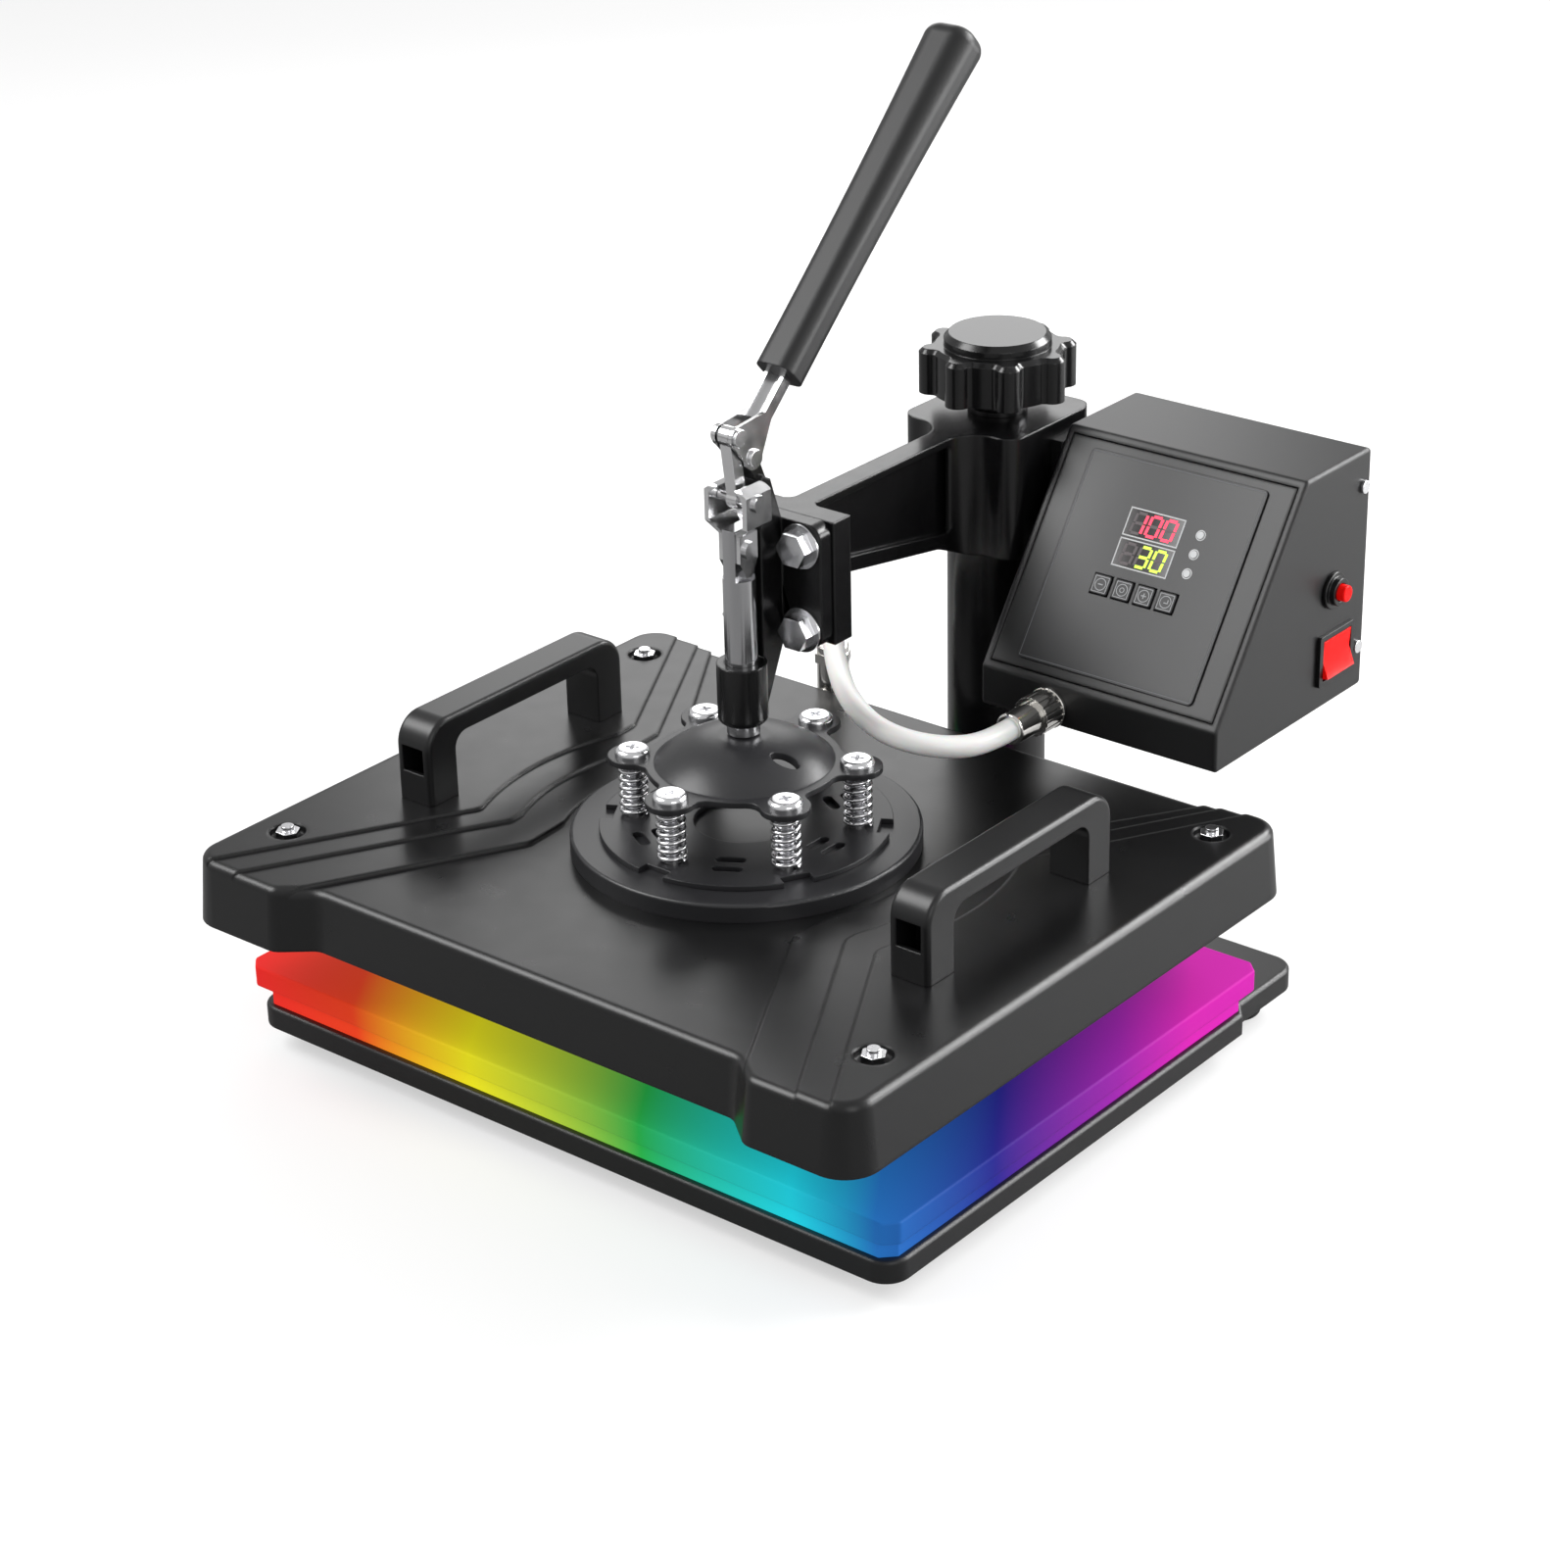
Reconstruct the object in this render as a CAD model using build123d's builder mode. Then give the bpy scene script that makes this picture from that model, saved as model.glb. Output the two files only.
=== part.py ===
from build123d import *
import math
import os

os.makedirs("parts", exist_ok=True)

# Swing-away flat heat press. Millimetres, +Z up, the operator stands on the -Y side.
# Heights and depths below are counted from the datum: the middle of the heating head,
# on the top face of its cover. datum_y puts the middle of the whole press at Y = 0.

# ---------------------------------------------------------------- driving dimensions
# base stack, from the table up
foot_height = 12.0
foot_radius = 15.0
foot_narrowing = 2.0
foot_flare = 8.0
base_thickness = 11.0
base_skin = 3.0
base_rim = 5.0
base_half_width = 188.0
base_rear_half_width = 182.0
base_front = 138.0
base_step = 128.0
base_rear = 186.0
base_corner = 12.0
base_shoulder = 8.0
base_edge_round = 2.0
tongue_half_width = 62.0
tongue_rear = 240.0
table_thickness = 10.0
pad_thickness = 11.0
pad_half_width = 190.0
pad_half_depth = 140.0
pad_chamfer = 6.0
pad_overhang = 5.0
table_half_width = pad_half_width - pad_overhang
table_half_depth = pad_half_depth - pad_overhang
foot_x = 155.0
foot_front = 108.0
foot_rear = 164.0
foot_rear_x = 160.0
base_bolt_radius = 3.0
base_bolt_length = 16.0
base_bolt_head = 5.7
base_bolt_head_height = 4.0
base_bolt_recess = 6.5
table_bolt_x = 120.0
table_bolt_y = 85.0
table_boss_radius = 10.0

# heating head
open_gap = 35.0
cover_height = 33.0
cover_wall = 3.0
cover_half_width = 193.5
cover_back = 156.5
cover_front = 156.5
wing_front = 169.5
wing_inner = cover_half_width - 56.5
recess_half_width = cover_half_width - 72.5
cover_corner = 17.0
cover_draft = 5.0
cover_round = 4.0
terrace_c_drop = 1.2
terrace_b_drop = 2.4
centre_drop = 4.2
bolt_x = cover_half_width - 23.5
bolt_y = 124.8
counterbore_radius = 8.5
counterbore_depth = 4.0
corner_bolt_radius = 3.0
corner_nut = 5.8
corner_nut_height = 5.0
corner_thread_proud = 2.2
plate_half_width = cover_half_width - 12.5
plate_half_depth = 140.0
plate_thickness = 12.0
plate_proud = 2.0
element_radius = 4.0
board_thickness = 6.5
disc_radius = 80.5
disc_top = 4.5
notched_radius = 67.0
notch_radius = 61.0
notched_thickness = 2.5
screw_circle = 51.5
screw_count = 6
shoulder_radius = 4.0
screw_head_radius = 8.0
screw_head_height = 3.4
screw_head_round = 2.4
recess_length = 6.0
recess_width = 1.6
recess_depth = 1.4
spring_radius = 7.0
spring_wire = 1.8
spring_coils = 6
lobed_bottom = 34.0
lobed_thickness = 3.0
lobe_radius = 11.5
lobed_core = 45.0
dome_radius = 41.0
dome_top = 50.0

# handles on the cover
handle_x = cover_half_width - 49.5
handle_width = 21.0
handle_half_length = 67.5
handle_height = 41.0
handle_bar = 10.0
handle_leg = 18.0
handle_round = 14.0
handle_screw_radius = 2.5
handle_screw_inset = 9.5
handle_screw_head = 4.2
handle_screw_head_height = 3.0
handle_floor = 4.0

# plunger and its guide
plunger_radius = 7.5
plunger_top = 150.0
guide_radius = 11.5
guide_bottom = 56.0
guide_top = 85.0
fit = 0.1
running_gap = 0.3

# toggle: two pivots on the lever, one in the clevis
pivot_y = 6.0
pivot_z = 181.0
crank = 16.0
crank_angle = 40.0
clevis_pin_z = 163.0
pin_radius = 2.5
lug_half = 3.3
lug_radius = 4.6
link_half = 3.0
link_eye = 4.5
link_waist = 3.4
channel_half = 5.5
channel_inner = 3.7
channel_depth = 6.0
channel_sheet = 1.8
lever_lean = 47.0
lever_rise = 7.0
rivet_head = 4.1
rivet_head_height = 1.5
grip_start = 34.0
grip_length = 180.0
clevis_half = 12.0
clevis_sheet = 2.5
clevis_front = 8.0
clevis_back = 9.0
blade_half = 3.5
strap_waist = 147.5
cheek_low = 152.7
cheek_high = 167.4
strap_top = 170.8
strap_top_half = 7.5
strap_bend = 1.0

# clamp casting, arm and post
flange_half = 27.0
flange_front = 24.0
flange_back = 32.0
flange_bottom = 89.0
arm_top = 147.5
web_half = 5.0
web_front = 9.5
web_bottom = 60.0
web_top = 171.0
web_rear_y = 17.0
lug_foot = 158.0
guide_round = 3.5
flange_bolt_x = 16.0
flange_bolt_low = 96.5
flange_bolt_high = 136.5
clamp_bolt_radius = 5.0
clamp_bolt_stop = 2.0
clamp_bolt_head = 8.4
clamp_bolt_head_height = 6.4
washer_radius = 10.5
washer_thickness = 1.6
arm_flange_half = 28.0
arm_flange_back = 44.0
beam_half = 6.0
pocket_depth = 3.0
post_y = 193.0
post_radius = 24.0
post_wall = 3.0
hub_half = 33.0
hub_bottom = 87.0
hub_corner = 9.0
bush_wall = 2.9
spindle_radius = 7.0
spindle_neck = 6.0
knob_radius = 37.5
knob_bottom = 158.0
knob_height = 28.0
knob_lobes = 8
stem_radius = 11.3
lift_up = 10.0
lift_down = 4.0

# control box on the right of the arm
box_left = 40.0
box_right = 170.0
box_front = 126.0
box_back = 251.0
box_bottom = 29.0
lip_top = 49.0
slope_top_y = 196.0
box_sheet = 2.0
overlay_thickness = 1.0
overlay_left = 57.0
overlay_right = 153.3
overlay_low = 8.5
overlay_high = 112.5
window_left = 88.6
window_right = 117.6
window_height = 12.8
temperature_window = 83.1
time_window = 68.2
light_x = 127.8
light_top = 84.9
light_pitch = 9.3
key_row = 51.0
key_left = 87.2
key_pitch = 11.9
key_size = 9.4
key_stroke = 0.4
board_gap = 7.0
board_sheet = 1.6

# heater cable
cable_radius = 5.25
connector_x = 79.0
connector_z = 38.0
cable_start_y = 94.0
gland_x = -79.0
gland_y = 163.5
gland_top = 16.0
gland_radius = 8.0
gland_bore_depth = 18.0
cable_in_gland = 8.0

# ---------------------------------------------------------------- worked-out places
floor_drop = foot_height + base_thickness + table_thickness + pad_thickness + open_gap + cover_height
floor_z = -floor_drop
base_bottom = floor_z + foot_height
base_top = base_bottom + base_thickness
table_top = base_top + table_thickness
skirt_bottom = -cover_height
datum_y = -(box_back + 2.0 - wing_front) / 2


def level(height):
    """A sketch plane facing up at a height above the datum; its axes are X and Y."""
    return Plane(origin=(0, datum_y, floor_drop + height))


def right_face(x):
    """An upright sketch plane facing +X; its axes are depth and height."""
    return Plane(origin=(x, datum_y, floor_drop), x_dir=(0, 1, 0), z_dir=(1, 0, 0))


def front_face(depth):
    """An upright sketch plane facing the operator; its axes are X and height."""
    return Plane(origin=(0, datum_y + depth, floor_drop), x_dir=(1, 0, 0), z_dir=(0, -1, 0))


# ================================================================ base
foot_places = [
    (-foot_x, -foot_front),
    (foot_x, -foot_front),
    (-foot_rear_x, foot_rear),
    (foot_rear_x, foot_rear),
]
table_screw_places = [
    (-table_bolt_x, -table_bolt_y),
    (table_bolt_x, -table_bolt_y),
    (-table_bolt_x, table_bolt_y),
    (table_bolt_x, table_bolt_y),
]
post_pad_half = 50.0
post_bolt_circle = 36.0
post_bolt_radius = 4.0
post_bolt_grip = 8.0
post_bolt_head = 7.5
post_bolt_head_height = 5.0
post_flange_radius = 46.0
table_bolt_seat = 3.0
foot_bolt_seat = 5.0

with BuildSketch(Plane.XY) as base_outline:
    with BuildLine():
        Polyline(
            (base_half_width, -base_front),
            (base_half_width, base_step),
            (base_rear_half_width, base_step + base_shoulder),
            (base_rear_half_width, base_rear),
            (tongue_half_width, base_rear),
            (tongue_half_width, tongue_rear),
            (0, tongue_rear),
        )
        mirror(about=Plane.YZ)
        Line((base_half_width, -base_front), (-base_half_width, -base_front))
    make_face()
    fillet(
        [v for v in base_outline.vertices() if not base_step - 1 < v.Y < base_step + base_shoulder + 1],
        radius=base_corner,
    )

# a pressed tray: a top skin with a downturned rim, bosses for the feet and a pad for the post
with BuildPart() as base_plate:
    with BuildSketch(level(base_bottom)):
        add(base_outline.sketch)
    extrude(amount=base_thickness)
    fillet(base_plate.edges().group_by(Axis.Z)[-1], radius=base_edge_round)
    with BuildSketch(level(base_bottom)):
        offset(base_outline.sketch, amount=-base_rim)
        with Locations(*foot_places):
            Circle(foot_radius, mode=Mode.SUBTRACT)
        with Locations((0, post_y)):
            Rectangle(2 * post_pad_half, 2 * post_pad_half, mode=Mode.SUBTRACT)
        with Locations(*table_screw_places):
            Circle(table_boss_radius, mode=Mode.SUBTRACT)
    extrude(amount=base_thickness - base_skin, mode=Mode.SUBTRACT)
    with BuildSketch(level(base_bottom)):
        with Locations(*table_screw_places, *foot_places):
            Circle(base_bolt_radius)
    extrude(amount=base_thickness, mode=Mode.SUBTRACT)
    with BuildSketch(level(base_bottom)):
        with Locations(*table_screw_places):
            Circle(base_bolt_recess)
    extrude(amount=table_bolt_seat, mode=Mode.SUBTRACT)
    with BuildSketch(level(base_top)):
        with Locations((0, post_y)):
            with PolarLocations(post_bolt_circle, 4, start_angle=45):
                Circle(post_bolt_radius)
    extrude(amount=-post_bolt_grip, mode=Mode.SUBTRACT)
base_plate.part.label = "base_plate"
export_step(base_plate.part, "parts/base_plate.step")

# a foot: a rubber cone with a deep recess for its screw
with BuildPart() as foot:
    with BuildSketch(level(floor_z)):
        Circle(foot_radius - foot_narrowing)
    extrude(amount=foot_height, taper=-foot_flare)
    fillet(foot.edges().group_by(Axis.Z)[0], radius=1.5)
    with BuildSketch(level(floor_z)):
        Circle(base_bolt_recess)
    extrude(amount=foot_height - foot_bolt_seat, mode=Mode.SUBTRACT)
    with BuildSketch(level(floor_z)):
        Circle(base_bolt_radius)
    extrude(amount=foot_height, mode=Mode.SUBTRACT)

with BuildPart() as rubber_feet:
    with Locations(*foot_places):
        add(foot.part)
rubber_feet.part.label = "rubber_feet"
export_step(rubber_feet.part, "parts/rubber_feet.step")

with BuildPart() as lower_table:
    with BuildSketch(level(base_top)):
        Rectangle(2 * table_half_width, 2 * table_half_depth)
    extrude(amount=table_thickness)
    chamfer(lower_table.edges().filter_by(Axis.Z), length=pad_chamfer)
    with BuildSketch(level(base_top)):
        with Locations(*table_screw_places):
            Circle(base_bolt_radius)
    extrude(amount=table_bolt_seat + base_bolt_length - base_thickness, mode=Mode.SUBTRACT)
lower_table.part.label = "lower_table"
export_step(lower_table.part, "parts/lower_table.step")

# identical hexagon bolts: four hold the table and four hold the feet, all from below
with BuildPart() as base_bolt:
    with BuildSketch(level(0)):
        Circle(base_bolt_radius)
    extrude(amount=base_bolt_length)
    with BuildSketch(level(0)):
        RegularPolygon(base_bolt_head, 6)
    extrude(amount=-base_bolt_head_height)

with BuildPart() as base_bolts:
    with Locations((0, 0, base_bottom + table_bolt_seat)):
        with Locations(*table_screw_places):
            add(base_bolt.part)
    with Locations((0, 0, base_bottom - foot_bolt_seat)):
        with Locations(*foot_places):
            add(base_bolt.part)
base_bolts.part.label = "base_bolts"
export_step(base_bolts.part, "parts/base_bolts.step")

with BuildPart() as silicone_pad:
    with BuildSketch(level(table_top)):
        Rectangle(2 * pad_half_width, 2 * pad_half_depth)
    extrude(amount=pad_thickness)
    chamfer(silicone_pad.edges().filter_by(Axis.Z), length=pad_chamfer)
silicone_pad.part.label = "silicone_pad"
export_step(silicone_pad.part, "parts/silicone_pad.step")

# ================================================================ post
hub_roof = 7.5
hub_ceiling = arm_top - hub_roof
collar_height = 6.5
collar_bottom = hub_ceiling - collar_height
travel_clearance = 1.0
post_top = collar_bottom - lift_down - travel_clearance
plug_height = 12.0
flange_plate_height = 8.0

with BuildPart() as post_flange:
    with BuildSketch(level(base_top)):
        with Locations((0, post_y)):
            Circle(post_flange_radius)
            Circle(post_radius, mode=Mode.SUBTRACT)
            with PolarLocations(post_bolt_circle, 4, start_angle=45):
                Circle(post_bolt_radius, mode=Mode.SUBTRACT)
    extrude(amount=flange_plate_height)
    chamfer(post_flange.edges().group_by(Axis.Z)[-1].sort_by(SortBy.LENGTH)[-1:], length=1.5)
post_flange.part.label = "post_flange"
export_step(post_flange.part, "parts/post_flange.step")

with BuildPart() as post_bolts:
    with BuildSketch(level(base_top + flange_plate_height)):
        with Locations((0, post_y)):
            with PolarLocations(post_bolt_circle, 4, start_angle=45):
                Circle(post_bolt_radius)
    extrude(amount=-flange_plate_height - post_bolt_grip)
    with BuildSketch(level(base_top + flange_plate_height)):
        with Locations((0, post_y)):
            with PolarLocations(post_bolt_circle, 4, start_angle=45):
                RegularPolygon(post_bolt_head, 6)
    extrude(amount=post_bolt_head_height)
post_bolts.part.label = "post_bolts"
export_step(post_bolts.part, "parts/post_bolts.step")

with BuildPart() as post_tube:
    with BuildSketch(level(base_top)):
        with Locations((0, post_y)):
            Circle(post_radius)
            Circle(post_radius - post_wall, mode=Mode.SUBTRACT)
    extrude(amount=post_top - base_top)
    # the threaded plug in its top, in which the pressure screw climbs
    with BuildSketch(level(post_top)):
        with Locations((0, post_y)):
            Circle(post_radius - post_wall)
            Circle(spindle_radius + fit, mode=Mode.SUBTRACT)
    extrude(amount=-plug_height)
post_tube.part.label = "post_tube"
export_step(post_tube.part, "parts/post_tube.step")

# ================================================================ lifting sleeve and pressure screw
bush_radius = post_radius + bush_wall + fit
sleeve_bottom = hub_bottom
sleeve_top = post_top - lift_up - 2 * travel_clearance
sleeve_lip = 2.5
sleeve_lip_reach = 3.0

# the sleeve slides on the post, and the arm's hub turns on the sleeve
with BuildPart() as arm_bush:
    with BuildSketch(level(sleeve_bottom)):
        with Locations((0, post_y)):
            Circle(bush_radius)
    extrude(amount=sleeve_top - sleeve_bottom)
    with BuildSketch(level(sleeve_bottom - sleeve_lip)):
        with Locations((0, post_y)):
            Circle(bush_radius + sleeve_lip_reach)
    extrude(amount=sleeve_lip)
    with BuildSketch(level(sleeve_bottom - sleeve_lip)):
        with Locations((0, post_y)):
            Circle(post_radius + fit)
    extrude(amount=sleeve_top - sleeve_bottom + sleeve_lip, mode=Mode.SUBTRACT)
arm_bush.part.label = "arm_bush"
export_step(arm_bush.part, "parts/arm_bush.step")

thread_reserve = 8.0
spindle_in_knob = 20.0
collar_radius = 13.0
spindle_bottom = post_top - plug_height - lift_up - thread_reserve
spindle_top = knob_bottom + spindle_in_knob

# the screw, with the collar that carries the arm's hub
with BuildPart() as pressure_spindle:
    with BuildSketch(level(spindle_bottom)):
        with Locations((0, post_y)):
            Circle(spindle_radius)
    extrude(amount=collar_bottom - spindle_bottom)
    chamfer(pressure_spindle.edges().group_by(Axis.Z)[0], length=1.2)
    with BuildSketch(level(collar_bottom)):
        with Locations((0, post_y)):
            Circle(collar_radius)
    extrude(amount=collar_height)
    with BuildSketch(level(collar_bottom + collar_height)):
        with Locations((0, post_y)):
            Circle(spindle_neck)
    extrude(amount=spindle_top - collar_bottom - collar_height)
pressure_spindle.part.label = "pressure_spindle"
export_step(pressure_spindle.part, "parts/pressure_spindle.step")

# a lobed hand knob on a plain stem, with a flange that turns on the hub
knob_bulge = 6.0
knob_crown = 6.0
stem_foot = 2.5
stem_foot_reach = 3.0
set_screw_radius = 2.5
set_screw_rise = 6.5
set_screw_head = 3.6
set_screw_head_height = 3.5
lobe_circle = knob_radius - knob_bulge
set_screw_height = arm_top + set_screw_rise
with BuildPart() as pressure_knob:
    with BuildSketch(level(arm_top)):
        with Locations((0, post_y)):
            Circle(stem_radius + stem_foot_reach)
    extrude(amount=stem_foot)
    with BuildSketch(level(arm_top)):
        with Locations((0, post_y)):
            Circle(stem_radius)
    extrude(amount=knob_bottom - arm_top)
    with BuildSketch(level(knob_bottom)) as knob_outline:
        with Locations((0, post_y)):
            Circle(lobe_circle)
            with PolarLocations(lobe_circle, knob_lobes):
                Circle(knob_bulge)
        fillet(knob_outline.vertices(), radius=3)
    extrude(amount=knob_height - knob_crown)
    chamfer(pressure_knob.edges().group_by(Axis.Z)[-1], length=2)
    with BuildSketch(level(knob_bottom + knob_height - knob_crown)):
        with Locations((0, post_y)):
            Circle(lobe_circle - knob_crown)
    extrude(amount=knob_crown)
    chamfer(pressure_knob.edges().group_by(Axis.Z)[-1], length=2.5)
    with BuildSketch(level(arm_top)):
        with Locations((0, post_y)):
            Circle(spindle_neck)
    extrude(amount=spindle_top - arm_top, mode=Mode.SUBTRACT)
    with BuildSketch(right_face(0)):
        with Locations((post_y, set_screw_height)):
            Circle(set_screw_radius)
    extrude(amount=stem_radius + 1, mode=Mode.SUBTRACT)
pressure_knob.part.label = "pressure_knob"
export_step(pressure_knob.part, "parts/pressure_knob.step")

with BuildPart() as knob_set_screw:
    with BuildSketch(right_face(spindle_neck)):
        with Locations((post_y, set_screw_height)):
            Circle(set_screw_radius)
    extrude(amount=stem_radius - spindle_neck)
    with BuildSketch(right_face(stem_radius)):
        with Locations((post_y, set_screw_height)):
            Circle(set_screw_head)
    extrude(amount=set_screw_head_height)
    fillet(knob_set_screw.edges().group_by(Axis.X)[-1], radius=1)
knob_set_screw.part.label = "knob_set_screw"
export_step(knob_set_screw.part, "parts/knob_set_screw.step")

# ================================================================ swinging arm
arm_flange_bolts = [
    (-flange_bolt_x, flange_bolt_low),
    (flange_bolt_x, flange_bolt_low),
    (-flange_bolt_x, flange_bolt_high),
    (flange_bolt_x, flange_bolt_high),
]
hub_front = post_y - hub_half
bracket_thread = 5.0
bracket_width = 28.0
bracket_height = 45.0
bracket_bolt_head = 5.6
bracket_bolt_head_height = 4.0
bracket_bolt_front = post_y + 3.0
bracket_bolt_rear = post_y + 19.0
bracket_bolt_low = 103.0
bracket_bolt_high = 132.0
bracket_bolt_places = [
    (bracket_bolt_front, bracket_bolt_low),
    (bracket_bolt_rear, bracket_bolt_low),
    (bracket_bolt_front, bracket_bolt_high),
    (bracket_bolt_rear, bracket_bolt_high),
]
bracket_y = (bracket_bolt_front + bracket_bolt_rear) / 2
bracket_z = (bracket_bolt_low + bracket_bolt_high) / 2
beam_front_y = 62.0
beam_front_low = 107.5
beam_rear_y = 138.0
beam_rear_low = 94.8
top_rim = 4.0
pocket_rise = 7.0
pocket_front = 50.0
pocket_rear = 149.0

with BuildPart() as swing_arm:
    # the plan: front flange, thin beam and square hub, joined by fillets
    with BuildSketch(level(hub_bottom)) as arm_plan:
        with BuildLine():
            Polyline(
                (arm_flange_half, flange_back),
                (arm_flange_half, arm_flange_back),
                (beam_half, arm_flange_back),
                (beam_half, hub_front),
                (hub_half, hub_front),
                (hub_half, post_y + hub_half),
                (-hub_half, post_y + hub_half),
                (-hub_half, hub_front),
                (-beam_half, hub_front),
                (-beam_half, arm_flange_back),
                (-arm_flange_half, arm_flange_back),
                (-arm_flange_half, flange_back),
                close=True,
            )
        make_face()
        inner = [v for v in arm_plan.vertices() if abs(abs(v.X) - beam_half) < 0.1]
        fillet([v for v in inner if v.Y > hub_front - 1], radius=16)
        inner = [v for v in arm_plan.vertices() if abs(abs(v.X) - beam_half) < 0.1]
        fillet([v for v in inner if v.Y < arm_flange_back + 1], radius=5)
        outer = [v for v in arm_plan.vertices() if abs(abs(v.X) - hub_half) < 0.1]
        fillet(outer, radius=hub_corner)
    extrude(amount=arm_top - hub_bottom)
    # the side view trims the beam to a deep neck at the flange that drops towards the hub
    with BuildSketch(right_face(-hub_half)) as arm_side:
        with BuildLine():
            Polyline(
                (flange_back, arm_top),
                (post_y + hub_half, arm_top),
                (post_y + hub_half, hub_bottom),
                (hub_front - 4, hub_bottom),
                (beam_rear_y, beam_rear_low),
                (beam_front_y, beam_front_low),
                (arm_flange_back, flange_bottom),
                (flange_back, flange_bottom),
                close=True,
            )
        make_face()
        fillet([v for v in arm_side.vertices() if beam_front_y - 1 < v.X < hub_front - 2], radius=14)
    extrude(amount=2 * hub_half, mode=Mode.INTERSECT)
    # pockets in both sides of the beam leave a raised rim
    for side, direction in ((beam_half, -1), (-beam_half, 1)):
        with BuildSketch(right_face(side)) as pocket:
            with BuildLine():
                Polyline(
                    (pocket_front, arm_top - top_rim),
                    (pocket_rear, arm_top - top_rim),
                    (pocket_rear, beam_rear_low + pocket_rise - 1.5),
                    (beam_rear_y, beam_rear_low + pocket_rise),
                    (beam_front_y + 2, beam_front_low + pocket_rise),
                    (pocket_front, beam_front_low + pocket_rise),
                    close=True,
                )
            make_face()
            fillet([v for v in pocket.vertices() if abs(v.X - beam_rear_y) > 1], radius=5)
        extrude(amount=direction * pocket_depth, mode=Mode.SUBTRACT)
    with BuildSketch(level(hub_bottom)):
        with Locations((0, post_y)):
            Circle(bush_radius + fit)
    extrude(amount=hub_ceiling - hub_bottom, mode=Mode.SUBTRACT)
    with BuildSketch(level(hub_bottom)):
        with Locations((0, post_y)):
            Circle(spindle_neck + fit)
    extrude(amount=arm_top - hub_bottom, mode=Mode.SUBTRACT)
    with BuildSketch(front_face(flange_back)):
        with Locations(*arm_flange_bolts):
            Circle(clamp_bolt_radius)
    extrude(amount=-(arm_flange_back - flange_back - clamp_bolt_stop), mode=Mode.SUBTRACT)
    with BuildSketch(right_face(hub_half)):
        with Locations(*bracket_bolt_places):
            Circle(corner_bolt_radius)
    extrude(amount=-bracket_thread, mode=Mode.SUBTRACT)
swing_arm.part.label = "swing_arm"
export_step(swing_arm.part, "parts/swing_arm.step")

# ================================================================ clamp casting with the plunger guide
with BuildPart() as clamp_body:
    with BuildSketch(front_face(flange_back)):
        with Locations((0, (flange_bottom + arm_top) / 2)):
            RectangleRounded(2 * flange_half, arm_top - flange_bottom, 6)
    extrude(amount=flange_back - flange_front)
    # web between the flange, the guide barrel and the pivot lug
    with BuildSketch(right_face(-web_half)):
        with BuildLine():
            Polyline(
                (flange_front + 1, arm_top - 3),
                (web_rear_y, web_top - 3),
                (web_front + 2, web_top),
                (web_front, lug_foot + 5),
                (web_front, web_bottom),
                (web_front + 2.5, web_bottom + 2),
                (flange_front + 1, flange_bottom + 2),
                close=True,
            )
        make_face()
    extrude(amount=2 * web_half)
    with BuildSketch(right_face(-lug_half)):
        with BuildLine():
            Polyline(
                (web_front, lug_foot),
                (web_front, web_top - 2),
                (pivot_y - lug_radius, pivot_z),
                (pivot_y + lug_radius, pivot_z),
                (web_rear_y, web_top - 5),
                close=True,
            )
        make_face()
        with Locations((pivot_y, pivot_z)):
            Circle(lug_radius)
    extrude(amount=2 * lug_half)
    with BuildSketch(level(guide_bottom)):
        Circle(guide_radius)
    extrude(amount=guide_top - guide_bottom)
    fillet(clamp_body.edges().group_by(Axis.Z)[0], radius=guide_round)
    with BuildSketch(level(guide_bottom - 1)):
        Circle(plunger_radius + fit)
    extrude(amount=guide_top - guide_bottom + 2, mode=Mode.SUBTRACT)
    with BuildSketch(right_face(-lug_half)):
        with Locations((pivot_y, pivot_z)):
            Circle(pin_radius + fit / 2)
    extrude(amount=2 * lug_half, mode=Mode.SUBTRACT)
    with BuildSketch(front_face(flange_back)):
        with Locations(*arm_flange_bolts):
            Circle(clamp_bolt_radius)
    extrude(amount=flange_back - flange_front, mode=Mode.SUBTRACT)
clamp_body.part.label = "clamp_body"
export_step(clamp_body.part, "parts/clamp_body.step")

with BuildPart() as clamp_bolts:
    with BuildSketch(front_face(arm_flange_back - clamp_bolt_stop)):
        with Locations(*arm_flange_bolts):
            Circle(clamp_bolt_radius)
    extrude(amount=arm_flange_back - clamp_bolt_stop - flange_front)
    with BuildSketch(front_face(flange_front)):
        with Locations(*arm_flange_bolts):
            Circle(washer_radius)
    extrude(amount=washer_thickness)
    with BuildSketch(front_face(flange_front - washer_thickness)):
        with Locations(*arm_flange_bolts):
            RegularPolygon(clamp_bolt_head, 6)
    extrude(amount=clamp_bolt_head_height)
clamp_bolts.part.label = "clamp_bolts"
export_step(clamp_bolts.part, "parts/clamp_bolts.step")

# ================================================================ toggle: lever, link and clevis
lean = math.radians(lever_lean)
along_y = math.sin(lean)
along_z = math.cos(lean)
crank_lean = math.radians(crank_angle)
upper_pin_y = pivot_y - crank * math.sin(crank_lean)
upper_pin_z = pivot_z + crank * math.cos(crank_lean)
lever_root_y = pivot_y
lever_root_z = pivot_z + lever_rise


def on_lever(distance, across):
    """A point in the side view, measured along the lever and across it towards its back."""
    y = lever_root_y + distance * along_y + across * along_z
    z = lever_root_z + distance * along_z - across * along_y
    return (y, z)


half_depth = channel_depth / 2
channel_in_grip = 45.0
channel_end = grip_start + channel_in_grip

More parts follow.
